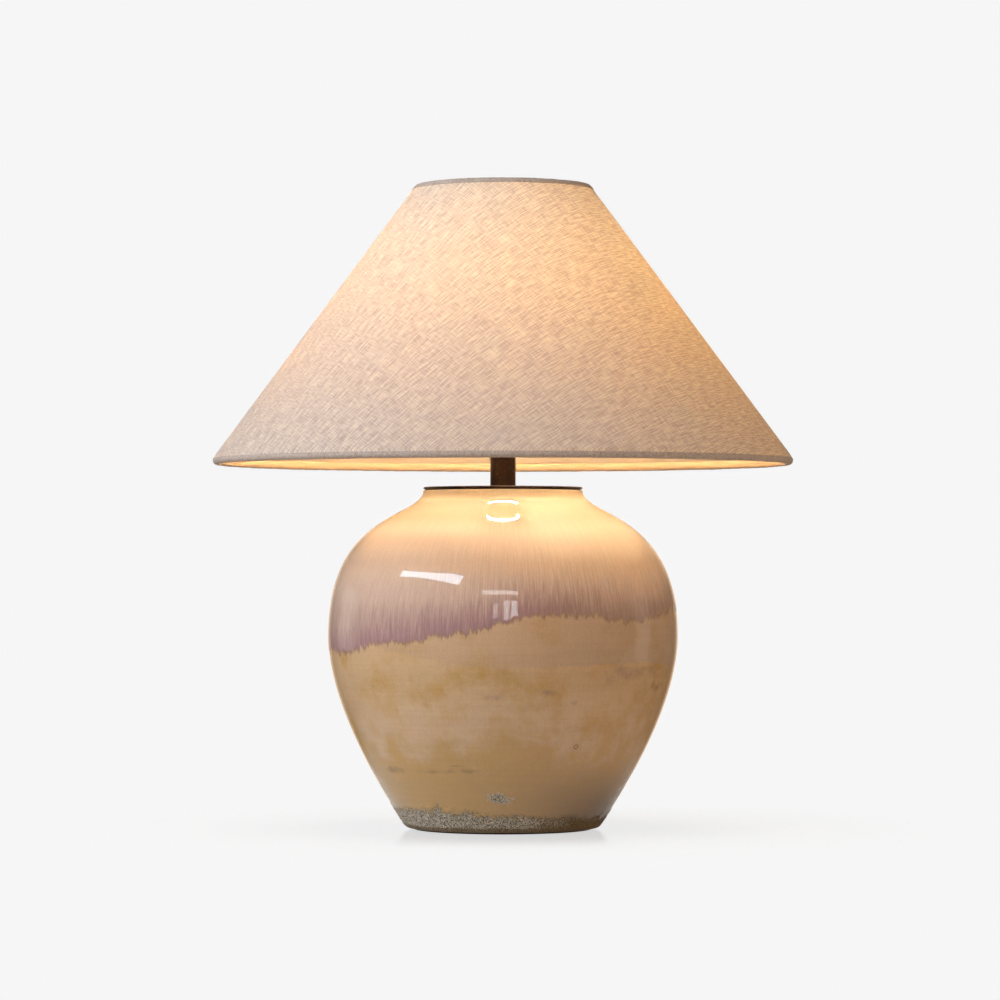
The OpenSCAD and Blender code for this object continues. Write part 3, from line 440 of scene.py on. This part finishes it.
# darker brown towards the foot on the right: partly the glaze's own colour, partly painted shade on the side
# away from the left lights
darker_foot = between(over_crust, -0.004, 0.060, 0.95, 0)
run = blend_in(product(darker_foot, rightward), run, "#5E4526")
colour = blend_in(crusted, run, crust_colour)
gloss = between(crusted, 0, 1, 0.04, 0.85)
grit = bumps(crumbs, 0.6, 0.0006)
ripple = bumps(plus(plus(plus(in_run, hairs, 0.06), bands, 0.06), crater_rim, 3), 0.22, 0.0002)
which_way = add_node(tree, "Mix", {"data_type": "VECTOR"}, {0: crusted, 4: ripple, 5: grit})
# glassy and wet to the eye where it melted, and dry as sand where it didn't
glass_coat = add_node(tree, "BsdfPrincipled", {"IOR": 1.7},
                      {"Base Color": colour, "Roughness": gloss, "Normal": which_way.outputs[1]})
show(glass_coat)

bare, tree = new_material("bare_fired_stoneware")
sand = noise(object_spot(), 900, 4, 0.7)
colour = blend_in(sand, "#8A735C", "#B79F84")
grain = bumps(sand, 0.5, 0.0003)
# open and chalky: no shine at all
clay = add_node(tree, "BsdfPrincipled", {"Roughness": 0.9}, {"Base Color": colour, "Normal": grain})
show(clay)
jar.data.materials.append(glaze)
jar.data.materials.append(bare)
# the glaze stops just inside the rim and the foot
glaze_reach, rim_height = 0.003, 0.3205
centres = read_points(drilled.polygons, "center")
radius = np.hypot(centres[:, 0], centres[:, 1])
outer_radius = np.interp(centres[:, 2], outside[:, 1], outside[:, 0])
bare_faces = (radius < outer_radius - glaze_reach) & (centres[:, 2] < rim_height)
drilled.polygons.foreach_set("material_index", bare_faces.astype(np.int32))
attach(jar, "root")
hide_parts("jar")


# --- Grommet and gaskets -----------------------------------------------------------------------
# A moulded rubber grommet lines the cord's hole, and gaskets of the same rubber under the jar's
# floor and under the cap keep metal off the glazed clay.
def dress(material, *nodes):
    """Gives these CAD pieces that material."""
    for name in nodes:
        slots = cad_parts[name].data.materials
        slots.clear()
        slots.append(material)


def ramp(value, start, end):
    """A node that goes straight from start to end as the value goes from 0 to 1."""
    return add_node(tree, "MapRange", {"To Min": start, "To Max": end}, {"Value": value})


rubber, tree = new_material("moulded_black_rubber")
bloom = noise(object_spot(), 180, 4)
colour = blend_in(bloom, "#1B1A19", "#2E2C2A")
dull = ramp(bloom, 0.5, 0.75)
# dull black with a grey bloom
soft_black = add_node(tree, "BsdfPrincipled", {"IOR": 1.52}, {"Base Color": colour, "Roughness": dull})
show(soft_black)
dress(rubber, "cord_grommet", "bottom_gasket", "cap_gasket")


# --- Rod, washers and nuts ---------------------------------------------------------------------
# A threaded hollow rod of zinc-plated steel runs up through the jar. A washer, a toothed washer
# and a brass nut hold its lower end under the floor, and a brass nut draws the cap down on top.
zinc, tree = new_material("zinc_plated_steel")
spangle = add_node(tree, "TexVoronoi", {"Scale": 320}, {"Vector": object_spot()})
haze = noise(object_spot(), 130, 4)  # patches of 8 mm
colour = blend_in(haze, "#AEB1B4", "#C3C0B4")
blur = ramp(spangle, 0.26, 0.42)
# cool grey metal, faintly yellow in patches, with a cloudy shine
plate = add_node(tree, "BsdfPrincipled", {"Metallic": 1}, {"Base Color": colour, "Roughness": blur})
show(plate)
dress(zinc, "centre_rod", "bottom_washer", "lock_washer")

brass, tree = new_material("machined_yellow_brass")
tarnish = noise(object_spot(), 90, 5)
lathe = noise(stretched(object_spot(), (0.05, 0.05, 1)), 2600, 2)  # tool marks, 0.4 mm apart
colour = blend_in(tarnish, "#B08D4A", "#D0AE68")
blur = ramp(tarnish, 0.2, 0.4)
turned_lines = bumps(lathe, 0.1, 0.00005)
# warm yellow metal with fine turned lines, duller where it has tarnished
bar = add_node(tree, "BsdfPrincipled", {"Metallic": 1},
               {"Base Color": colour, "Roughness": blur, "Normal": turned_lines})
show(bar)
dress(brass, "bottom_nut", "cap_nut")


# --- Cap and neck --------------------------------------------------------------------------------
# A spun steel cap closes the jar's mouth, and a steel tube stands on it as the neck. Both have an
# oil-rubbed bronze finish, dark brown with a fine speckle where the rub has let the metal through.
bronze, tree = new_material("oil_rubbed_bronze_finish")
speckle = noise(object_spot(), 700, 4, 0.7)  # specks of 1.4 mm and less
rubbed = add_node(tree, "MapRange", {"From Min": 0.55, "From Max": 0.75}, {"Value": speckle})
cloud = noise(object_spot(), 60, 3)
dark = blend_in(cloud, "#1C1007", "#2A190B")
colour = blend_in(rubbed, dark, "#6B4A2C")
blur = ramp(speckle, 0.34, 0.5)
# dark brown and satin, between a paint and a metal
finish = add_node(tree, "BsdfPrincipled", {"Metallic": 0.6}, {"Base Color": colour, "Roughness": blur})
show(finish)
dress(bronze, "jar_cap", "neck_tube")


# --- Harp ----------------------------------------------------------------------------------------
# A harp of bent brass-plated wire carries the shade. Its two flat ends drop into a pressed saddle,
# loose sleeves slide down over them to lock it, and a stud on top takes the spider and the finial.
dress(brass, "harp_saddle", "harp_sleeve_left", "harp_sleeve_right", "harp", "harp_stud")


# --- Socket and switch ---------------------------------------------------------------------------
# A brass shell socket with a pressed cap. Inside it are a paper sleeve, a brown moulded body, the
# bulb's screw shell, a sprung contact and two terminal screws. A turned knob works the switch.
paper, tree = new_material("fish_paper_sleeve")
fibres = noise(object_spot(), 500, 6)
colour = blend_in(fibres, "#5A4A3A", "#7C6850")
nap = bumps(fibres, 0.3, 0.0001)
# grey-brown pressed card, dull, with its fibres showing
card = add_node(tree, "BsdfPrincipled", {"Roughness": 0.85}, {"Base Color": colour, "Normal": nap})
show(card)
dress(paper, "socket_insulator")

phenolic, tree = new_material("moulded_brown_phenolic")
filler = noise(object_spot(), 240, 5)
colour = blend_in(filler, "#2A1A12", "#43291A")
blur = ramp(filler, 0.25, 0.4)
# dark brown hard plastic with a swirl of its wood-flour filler under a low gloss
resin = add_node(tree, "BsdfPrincipled", {"IOR": 1.6}, {"Base Color": colour, "Roughness": blur})
show(resin)
dress(phenolic, "socket_body", "switch_knob")

aluminium, tree = new_material("rolled_aluminium_shell")
drawn = noise(stretched(object_spot(), (0.1, 0.1, 1)), 1500, 3)  # rolling lines, 0.7 mm apart
colour = blend_in(drawn, "#C9C9C6", "#DEDEDB")
blur = ramp(drawn, 0.22, 0.38)
# pale bright metal with rolling lines round it
shell = add_node(tree, "BsdfPrincipled", {"Metallic": 1}, {"Base Color": colour, "Roughness": blur})
show(shell)
dress(brass, "socket_cap", "socket_shell", "centre_contact", "terminal_screws", "switch_shaft")
dress(aluminium, "screw_shell")


# --- Bulb ----------------------------------------------------------------------------------------
# A globe bulb of warm white light-emitting chips: a nickel-plated screw base with a black glass
# insulator, a white plastic body that cools the chips' board, and an opal plastic globe.
white_plastic, tree = new_material("moulded_white_polycarbonate")
mould = noise(object_spot(), 900, 2)
colour = blend_in(mould, "#E6E3DC", "#F1EFEA")
texture = bumps(mould, 0.1, 0.00005)
# clean white with the fine sparked texture of its mould
body = add_node(tree, "BsdfPrincipled", {"Roughness": 0.4, "IOR": 1.58},
                {"Base Color": colour, "Normal": texture})
show(body)
dress(white_plastic, "bulb_body")

black_glass, tree = new_material("black_vitreous_insulator")
melt = noise(object_spot(), 160, 3)
colour = blend_in(melt, "#0E0E12", "#1D1C22")
blur = ramp(melt, 0.08, 0.2)
# jet black and glassy
glass = add_node(tree, "BsdfPrincipled", {"IOR": 1.52}, {"Base Color": colour, "Roughness": blur})
show(glass)
dress(black_glass, "bulb_insulator")

board, tree = new_material("white_aluminium_core_board")
resist = noise(object_spot(), 400, 3)
colour = blend_in(resist, "#DAD8D0", "#EEEDE8")
# white printed resist with a faint orange-peel
coat = add_node(tree, "BsdfPrincipled", {"Roughness": 0.45}, {"Base Color": colour})
show(coat)
dress(board, "bulb_board")
dress(aluminium, "bulb_base", "bulb_contact")

opal, tree = new_material("lit_opal_diffuser")
bulb_glow = 400
milk = noise(object_spot(), 60, 2)
colour = blend_in(milk, "#FFE3C2", "#FFE9CE")
# too bright to see into: an even warm white all over
glow = add_node(tree, "Emission", {"Strength": bulb_glow}, {"Color": colour})
show(glow)
dress(opal, "bulb_globe")


# --- Shade frame ---------------------------------------------------------------------------------
# A spider of three nickel-coloured wires, welded to a washer and to the upper ring, and a plain
# lower ring. The rings stretch the shade between them.
wire, tree = new_material("nickel_washed_steel_wire")
draw_lines = noise(object_spot(), 700, 4)
colour = blend_in(draw_lines, "#9E9A90", "#BDB9AE")
blur = ramp(draw_lines, 0.3, 0.45)
# soft grey metal, a little dull
drawn_wire = add_node(tree, "BsdfPrincipled", {"Metallic": 1}, {"Base Color": colour, "Roughness": blur})
show(drawn_wire)
dress(wire, "spider", "shade_top_ring", "shade_bottom_ring")


# --- Shade liner -----------------------------------------------------------------------------------
# A sheet of translucent styrene, 0.5 mm thick, laminated behind the linen so that the shade holds
# its cone. It spreads the bulb's light, and glows cream on the inside.
styrene, tree = new_material("laminated_white_styrene")
film = noise(object_spot(), 35, 3)
# painted shade: the sheet darkens and passes less light from 0.40 m to 0.60 m up, over the bulb
painted_top_dimming = between(add_node(tree, "SeparateXYZ", {}, {"Vector": object_spot()}).outputs["Z"], 0.40, 0.60)
unshaded_sheet = blend_in(film, "#E6D6BC", "#EEDFC8")
colour = blend_in(painted_top_dimming, unshaded_sheet, "#D2C3AC")
let_through = blend_in(painted_top_dimming, "#FFF6E2", "#C8C8D0")
# satin white sheet that nearly half the light goes through at each face; from 0.40 m up it is painted darker
# and lets less light through, painted shade that evens out the glow up the shade
satin = add_node(tree, "BsdfPrincipled", {"Roughness": 0.5, "IOR": 1.5}, {"Base Color": colour})
clear = add_node(tree, "BsdfTransparent", {}, {"Color": let_through})
sheet = add_node(tree, "MixShader", {0: 0.45}, {1: satin, 2: clear})
show(sheet)
dress(styrene, "shade_liner")


# --- Linen cover -----------------------------------------------------------------------------------
# One piece of natural slub linen, cut flat as a part of a ring and glued round the cone, with its
# ends lapped and stuck at the back. The thick and thin yarns run slantwise where it meets the eye.
linen_top = np.array((0.0847, 0.6082))
linen_low = np.array((0.2742, 0.3522))
linen_thickness = 0.0008
lap_width, lap_lift = 0.012, 0.00085
seam_at = math.radians(158)
thread_zero = math.radians(340)  # where the warp runs straight down
linen_rows, linen_columns, lap_columns = 200, 720, 8
step_from, step_to = 0.035, 0.012  # radians before the lap in which the cloth climbs on its other end

down = (linen_low - linen_top) / np.linalg.norm(linen_low - linen_top)
out = np.array((-down[1], down[0]))
into_tape = np.array([(0.2732, 0.3534), (0.2739, 0.3516), (0.2740, 0.3498)])  # the cloth turns upright there
tuck_from = np.array((0.2721, 0.3550))
line = np.vstack([linen_top + share * (tuck_from - linen_top)
                  for share in np.linspace(0, 1, linen_rows - len(into_tape))] + [into_tape])
section = np.vstack([line, (line - linen_thickness * out)[::-1]])
half_lap = lap_width / 2
turn = np.linspace(0, 2 * math.pi, linen_columns + 1)
radius = section[:, :1]
lap = np.linspace(0, 1, lap_columns + 1)[1:]
angle = np.hstack([seam_at - half_lap / radius + turn[None],
                   seam_at - half_lap / radius + 2 * math.pi + lap[None] * lap_width / radius])
climb = rise(turn, 2 * math.pi - step_from, 2 * math.pi - step_to)
lift = np.concatenate([climb, np.ones(lap_columns)]) * lap_lift
wide = radius + lift * out[0]
grid = np.stack([wide * np.cos(angle), wide * np.sin(angle), section[:, 1:] + lift * out[1] + 0 * angle], -1)
linen = skin("linen_cover", grid, True, False)
# close the two cut ends
rows, columns = grid.shape[:2]
mesh = linen.data
ends = [[k * columns + c, (k + 1) * columns + c, (rows - 2 - k) * columns + c, (rows - 1 - k) * columns + c]
        for c in (0, columns - 1) for k in range(linen_rows - 1)]
faces = [tuple(polygon.vertices) for polygon in mesh.polygons]
faces += [tuple(end[::-1]) if end[0] % columns == 0 else tuple(end) for end in ends]
mesh.clear_geometry()
mesh.from_pydata(grid.reshape(-1, 3).tolist(), [], faces)
mesh.shade_smooth()
# where each spot lies on the flat cut, for the threads to run straight there
cone = down[0]
slant = radius / cone * np.ones_like(angle)
spread = cone * (angle - thread_zero)
cloth_map = np.stack([slant * np.sin(spread), slant * np.cos(spread), 0 * angle], -1)
mesh.attributes.new("cloth_map", "FLOAT_VECTOR", "POINT").data.foreach_set("vector", cloth_map.ravel())

cloth, tree = new_material("natural_slub_linen")
yarns = add_node(tree, "Attribute", {"attribute_name": "cloth_map"}, {}).outputs["Vector"]
# linen yarns are 0.5 mm apart; the slubs are drawn 1 mm thick and about 16 mm long, so that they show
along = stretched(yarns, (0.06, 1, 1))
slubs = between(noise(along, 1000, 1, 0.6), 0.34, 0.66)
across = stretched(yarns, (1, 0.08, 1))
cross_slubs = between(noise(across, 960, 1, 0.6), 0.34, 0.66)
weave = blend_in(0.36, slubs, cross_slubs)
broad = noise(stretched(yarns, (0.25, 1, 1)), 120, 3, 0.6)
thick = between(plus(weave, centred(broad), 0.12), 0, 1)
fleck = noise(stretched(yarns, (0.45, 1, 1)), 1300, 2, 0.5)
flecked = between(fleck, 0.67, 0.75, 0, 0.6)
colour = blend_in(thick, "#D0CFC7", "#F0F0E8")
through = blend_in(thick, "#C89A5A", "#F7DEA3")
colour = blend_in(flecked, colour, "#8E7A64")
through = blend_in(flecked, through, "#8E6238")
relief = bumps(weave, 0.4, 0.0003)
# dry cloth with a faint lustre, that glows where the bulb is behind it
flax = add_node(tree, "BsdfPrincipled", {"Roughness": 0.9, "Sheen Weight": 0.1, "Specular IOR Level": 0.2},
                {"Base Color": colour, "Normal": relief})
lit = add_node(tree, "BsdfTranslucent", {}, {"Color": through, "Normal": relief})
show(add_node(tree, "MixShader", {0: 0.5}, {1: flax, 2: lit}))

behind, tree = new_material("linen_back_in_glue")
glue = noise(object_spot(), 300, 2)
colour = blend_in(glue, "#D8CAB6", "#E4D8C6")
# the glued back lets nearly all the light on into the cloth
wetted = add_node(tree, "BsdfPrincipled", {"Roughness": 0.6}, {"Base Color": colour})
clear = add_node(tree, "BsdfTransparent", {}, {})
show(add_node(tree, "MixShader", {0: 0.95}, {1: wetted, 2: clear}))

mesh.materials.append(cloth)
mesh.materials.append(behind)
face_row = np.repeat(np.arange(rows), columns - 1)
glued = (face_row >= linen_rows) & (face_row < rows - 1)
index = np.concatenate([glued, np.zeros(len(ends), bool)]).astype(np.int32)
mesh.polygons.foreach_set("material_index", index)
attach(linen, "shade")
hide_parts("shade_fabric", "shade_seam")


# --- Rolled tapes ----------------------------------------------------------------------------------
# Strips of the same linen on the bias, glued and rolled round each ring with a bone folder, over
# the linen's cut edge outside and the liner's inside. Being doubled, they let no light through.
fine_pucker, finest_pucker, slow_wave = (0.00016, 0.004), (0.00010, 0.0016), (0.00025, 0.03)  # depth, size
pucker_sink = 0.0002


def rolled_tape(name, loop, seed, columns):
    """A tape piece: its section goes round the shade, puckered a little, with a slightly wavy edge."""
    loop = np.asarray(loop) / 1000
    made = turned(loop, columns)
    centre = loop.mean(0)
    way = loop - centre
    way /= np.hypot(way[:, :1], way[:, 1:])
    angle = np.arctan2(made[..., 1], made[..., 0])
    pucker = sum(depth * unevenness(made, size, seed + step)
                 for step, (depth, size) in enumerate((fine_pucker, finest_pucker, slow_wave))) - pucker_sink
    made[..., 0] += pucker * way[:, :1] * np.cos(angle)
    made[..., 1] += pucker * way[:, :1] * np.sin(angle)
    made[..., 2] += pucker * way[:, 1:]
    return skin(name, made, True, True)


def round_corners(corners, passes=3):
    """Cuts the corners of a closed loop, pass after pass, until it looks smooth."""
    loop = np.array(corners, float)
    for _ in range(passes):
        ahead = np.roll(loop, -1, 0)
        loop = np.stack([0.75 * loop + 0.25 * ahead, 0.25 * loop + 0.75 * ahead], 1).reshape(-1, 2)
    return loop


# sections of the tapes in millimetres, by radius and height
low_loop = round_corners([(274.0, 351.4), (274.9, 350.9), (275.2, 349.0), (274.6, 346.6), (272.6, 344.9),
                          (270.0, 344.7), (267.9, 346.0), (266.9, 348.4), (267.1, 350.4), (268.0, 352.2),
                          (269.2, 353.4), (270.0, 352.8), (269.4, 350.8), (271.0, 348.6), (273.2, 349.2)])
top_loop = round_corners([(84.2, 609.9), (85.5, 608.6), (86.9, 606.6), (86.1, 606.0), (84.4, 607.4),
                          (82.6, 605.6), (80.0, 605.3), (79.4, 608.2), (80.8, 610.7), (82.7, 611.2)])
low_tape = rolled_tape("rolled_tape_low", low_loop, 20, 900)
top_tape = rolled_tape("rolled_tape_top", top_loop, 30, 480)

tape, tree = new_material("bias_linen_tape")
yarn = noise(object_spot(), 480, 4, 0.7)  # yarns drawn 2 mm thick, so that they show
fleck = noise(object_spot(), 330, 3, 0.8)
flecked = add_node(tree, "MapRange", {"From Min": 0.56, "From Max": 0.7}, {"Value": fleck})
woven = add_node(tree, "MapRange", {"From Min": 0.3, "From Max": 0.7}, {"Value": yarn})
grey = blend_in(woven, "#A38C7C", "#CDB9A8")
colour = blend_in(flecked, grey, "#A8835F")
relief = bumps(yarn, 0.6, 0.0004)
# grey-brown doubled cloth with rusty flecks of straw
doubled = add_node(tree, "BsdfPrincipled", {"Roughness": 0.9, "Specular IOR Level": 0.2},
                   {"Base Color": colour, "Normal": relief})
show(doubled)

turn_in, tree = new_material("cream_backed_tape_turned_in")
yarn = noise(object_spot(), 480, 4, 0.7)
colour = blend_in(yarn, "#A98A66", "#C2A37C")
relief = bumps(yarn, 0.4, 0.0003)
# the side turned in, browned by the glue and the bulb's heat, so that the liner stands out against it
backed = add_node(tree, "BsdfPrincipled", {"Roughness": 0.8}, {"Base Color": colour, "Normal": relief})
show(backed)
for piece, node, ring_radius in ((low_tape, "shade_trim_bottom", 0.2697),
                                 (top_tape, "shade_trim_top", 0.0822)):
    piece.data.materials.append(tape)
    piece.data.materials.append(turn_in)
    centres = read_points(piece.data.polygons, "center")
    inward = np.hypot(centres[:, 0], centres[:, 1]) < ring_radius
    piece.data.polygons.foreach_set("material_index", inward.astype(np.int32))
    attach(piece, "shade")
    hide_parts(node)


# --- Finial ----------------------------------------------------------------------------------------
# A small turned brass knob with a threaded insert, that screws down on the harp's stud and holds
# the spider. It has the same oil-rubbed bronze finish as the neck.
dress(brass, "finial_insert")
dress(bronze, "finial")


# --- Studio ----------------------------------------------------------------------------------------
# A pale floor fades into a pale backdrop. A broad soft light and a long window stand at the left
# front, and a blind, three panes and two cards show in the glaze. The camera stands 3.8 m back with a
# long lens, at the height of the jar's shoulder, tilted up a little.
camera_data = bpy.data.cameras.new("camera")
camera_data.lens, camera_data.sensor_width = 144, 36
camera = bpy.data.objects.new("camera", camera_data)
camera.location = (-0.0028, -3.80, 0.251)
camera.rotation_euler = (math.radians(90.917), 0, 0)
bpy.context.scene.collection.objects.link(camera)
bpy.context.scene.camera = camera


def seen_rays():
    """Two values: 1 for rays from the lens, and 1 for those and the ones that glaze or glass sends on."""
    rays = add_node(tree, "LightPath", {}, {}).outputs
    straight_on = rays["Is Camera Ray"]
    return straight_on, larger(larger(straight_on, rays["Is Glossy Ray"]), rays["Is Transmission Ray"])


backdrop_shade = "#F6F6F6"
room = bpy.data.worlds.new("studio_room")
room.use_nodes = True
tree = room.node_tree
tree.nodes.clear()
by_lens, seen = seen_rays()
looks = add_node(tree, "TexCoord", {}, {})
heading = add_node(tree, "SeparateXYZ", {}, {"Vector": looks.outputs["Generated"]})
# the lens sees the pale backdrop all round. The glaze sees it behind the lamp only, with a warm
# tint at either side, and the rest of the room a fifth as bright
paper_seen = between(heading.outputs["Y"], 0.90, 0.99, 0.2, 1)
sideways = add_node(tree, "Math", {"operation": "ABSOLUTE"}, {0: heading.outputs["X"]})
straight = add_node(tree, "MapRange", {"From Min": 0.15, "From Max": 0.05}, {"Value": sideways})
paper_tint = blend_in(larger(by_lens, straight), "#F2D0AE", backdrop_shade)
in_view = larger(by_lens, paper_seen)
shown = add_node(tree, "Background", {}, {"Color": paper_tint, "Strength": in_view})
soft = add_node(tree, "Background", {"Color": "#FFF8EC", "Strength": 0.24}, {})
both = add_node(tree, "MixShader", {}, {0: seen, 1: soft, 2: shown})
add_node(tree, "OutputWorld", {}, {"Surface": both})
bpy.context.scene.world = room

floor_drop = 0.0002  # just under the felt
floor = skin("studio_floor", turned([(r, -floor_drop) for r in (0.02, 0.3, 0.8, 1.6)], 96), False, True)
matt, tree = new_material("matt_white_paper_sweep")
far = add_node(tree, "VectorMath", {"operation": "LENGTH"}, {0: object_spot()}).outputs["Value"]
fade = between(far, 0.12, 0.50)
by_lens, seen = seen_rays()
in_gloss = add_node(tree, "Math", {"operation": "MULTIPLY", 1: 0.3}, {0: seen})
lit_part = plus(in_gloss, by_lens, 0.62)
# greyer to other rays, as a sweep of paper on a grey studio floor throws back less light
paper_colour = blend_in(seen, "#BCBCBC", "#F6F6F6")
diffuse = add_node(tree, "BsdfDiffuse", {}, {"Color": paper_colour})
own = add_node(tree, "Emission", {"Color": backdrop_shade, "Strength": 1}, {})
flat = add_node(tree, "MixShader", {}, {0: lit_part, 1: diffuse, 2: own})
# a faint sheen round the foot only, that mirrors it to the lens
sheen = add_node(tree, "BsdfGlossy", {"Roughness": 0.12}, {})
shiny_part = product(between(far, 0.13, 0.30, 0.26, 0), by_lens)
surface = add_node(tree, "MixShader", {}, {0: shiny_part, 1: flat, 2: sheen})
gone = add_node(tree, "BsdfTransparent", {}, {})
show(add_node(tree, "MixShader", {}, {0: product(fade, seen), 1: surface, 2: gone}))
floor.data.materials.append(matt)


lamp_middle = 0.3  # the height that the lights face


def studio_light(name, azimuth, elevation, distance, width, height, power, tint, reflected):
    """A soft light that faces the lamp from that direction. Azimuth is counter-clockwise from +X."""
    made = bpy.data.lights.new(name, "AREA")
    made.shape, made.size, made.size_y, made.energy = "RECTANGLE", width, height, power
    made.color = to_linear(tint)[:3]
    stand = bpy.data.objects.new(name, made)
    a, e = math.radians(azimuth), math.radians(elevation)
    stand.location = (distance * math.cos(e) * math.cos(a), distance * math.cos(e) * math.sin(a),
                      lamp_middle + distance * math.sin(e))
    stand.rotation_euler = (math.pi / 2 - e, 0, a + math.pi / 2)
    stand.visible_glossy = reflected
    stand.visible_camera = False
    bpy.context.scene.collection.objects.link(stand)


studio_light("left_window", -146, 34, 2.4, 1.9, 0.37, 17, "#DFEDFF", True)
studio_light("left_softbox", -150, 28, 2.6, 1.8, 1.8, 54, "#DFEDFF", False)
studio_light("right_bounce", -25, 2, 2.6, 1.8, 1.8, 19, "#FFE2BE", False)
studio_light("front_window_blind", -92, 24, 2.6, 1.05, 0.14, 1.6, "#FFFFFF", True)
studio_light("front_window_pane_1", -95, 11, 2.6, 0.16, 0.50, 0.5, "#FFFFFF", True)
studio_light("front_window_pane_2", -88, 11, 2.6, 0.14, 0.62, 0.9, "#FFFFFF", True)
studio_light("front_window_pane_3", -83, 11, 2.6, 0.20, 0.62, 1.6, "#FFFFFF", True)
studio_light("high_card", -39, 37, 2.4, 0.16, 0.08, 0.5, "#FFFFFF", True)
studio_light("low_card", -13, 24, 2.4, 0.24, 0.16, 0.12, "#FFFFFF", True)
studio_light("back_strip_left", 148, 0, 2.4, 0.85, 0.85, 1.0, "#FFF4E8", True)
studio_light("back_strip_right", 12, -1, 2.4, 0.62, 1.15, 0.7, "#FFF4E8", True)

bpy.context.scene.view_settings.view_transform = "Standard"
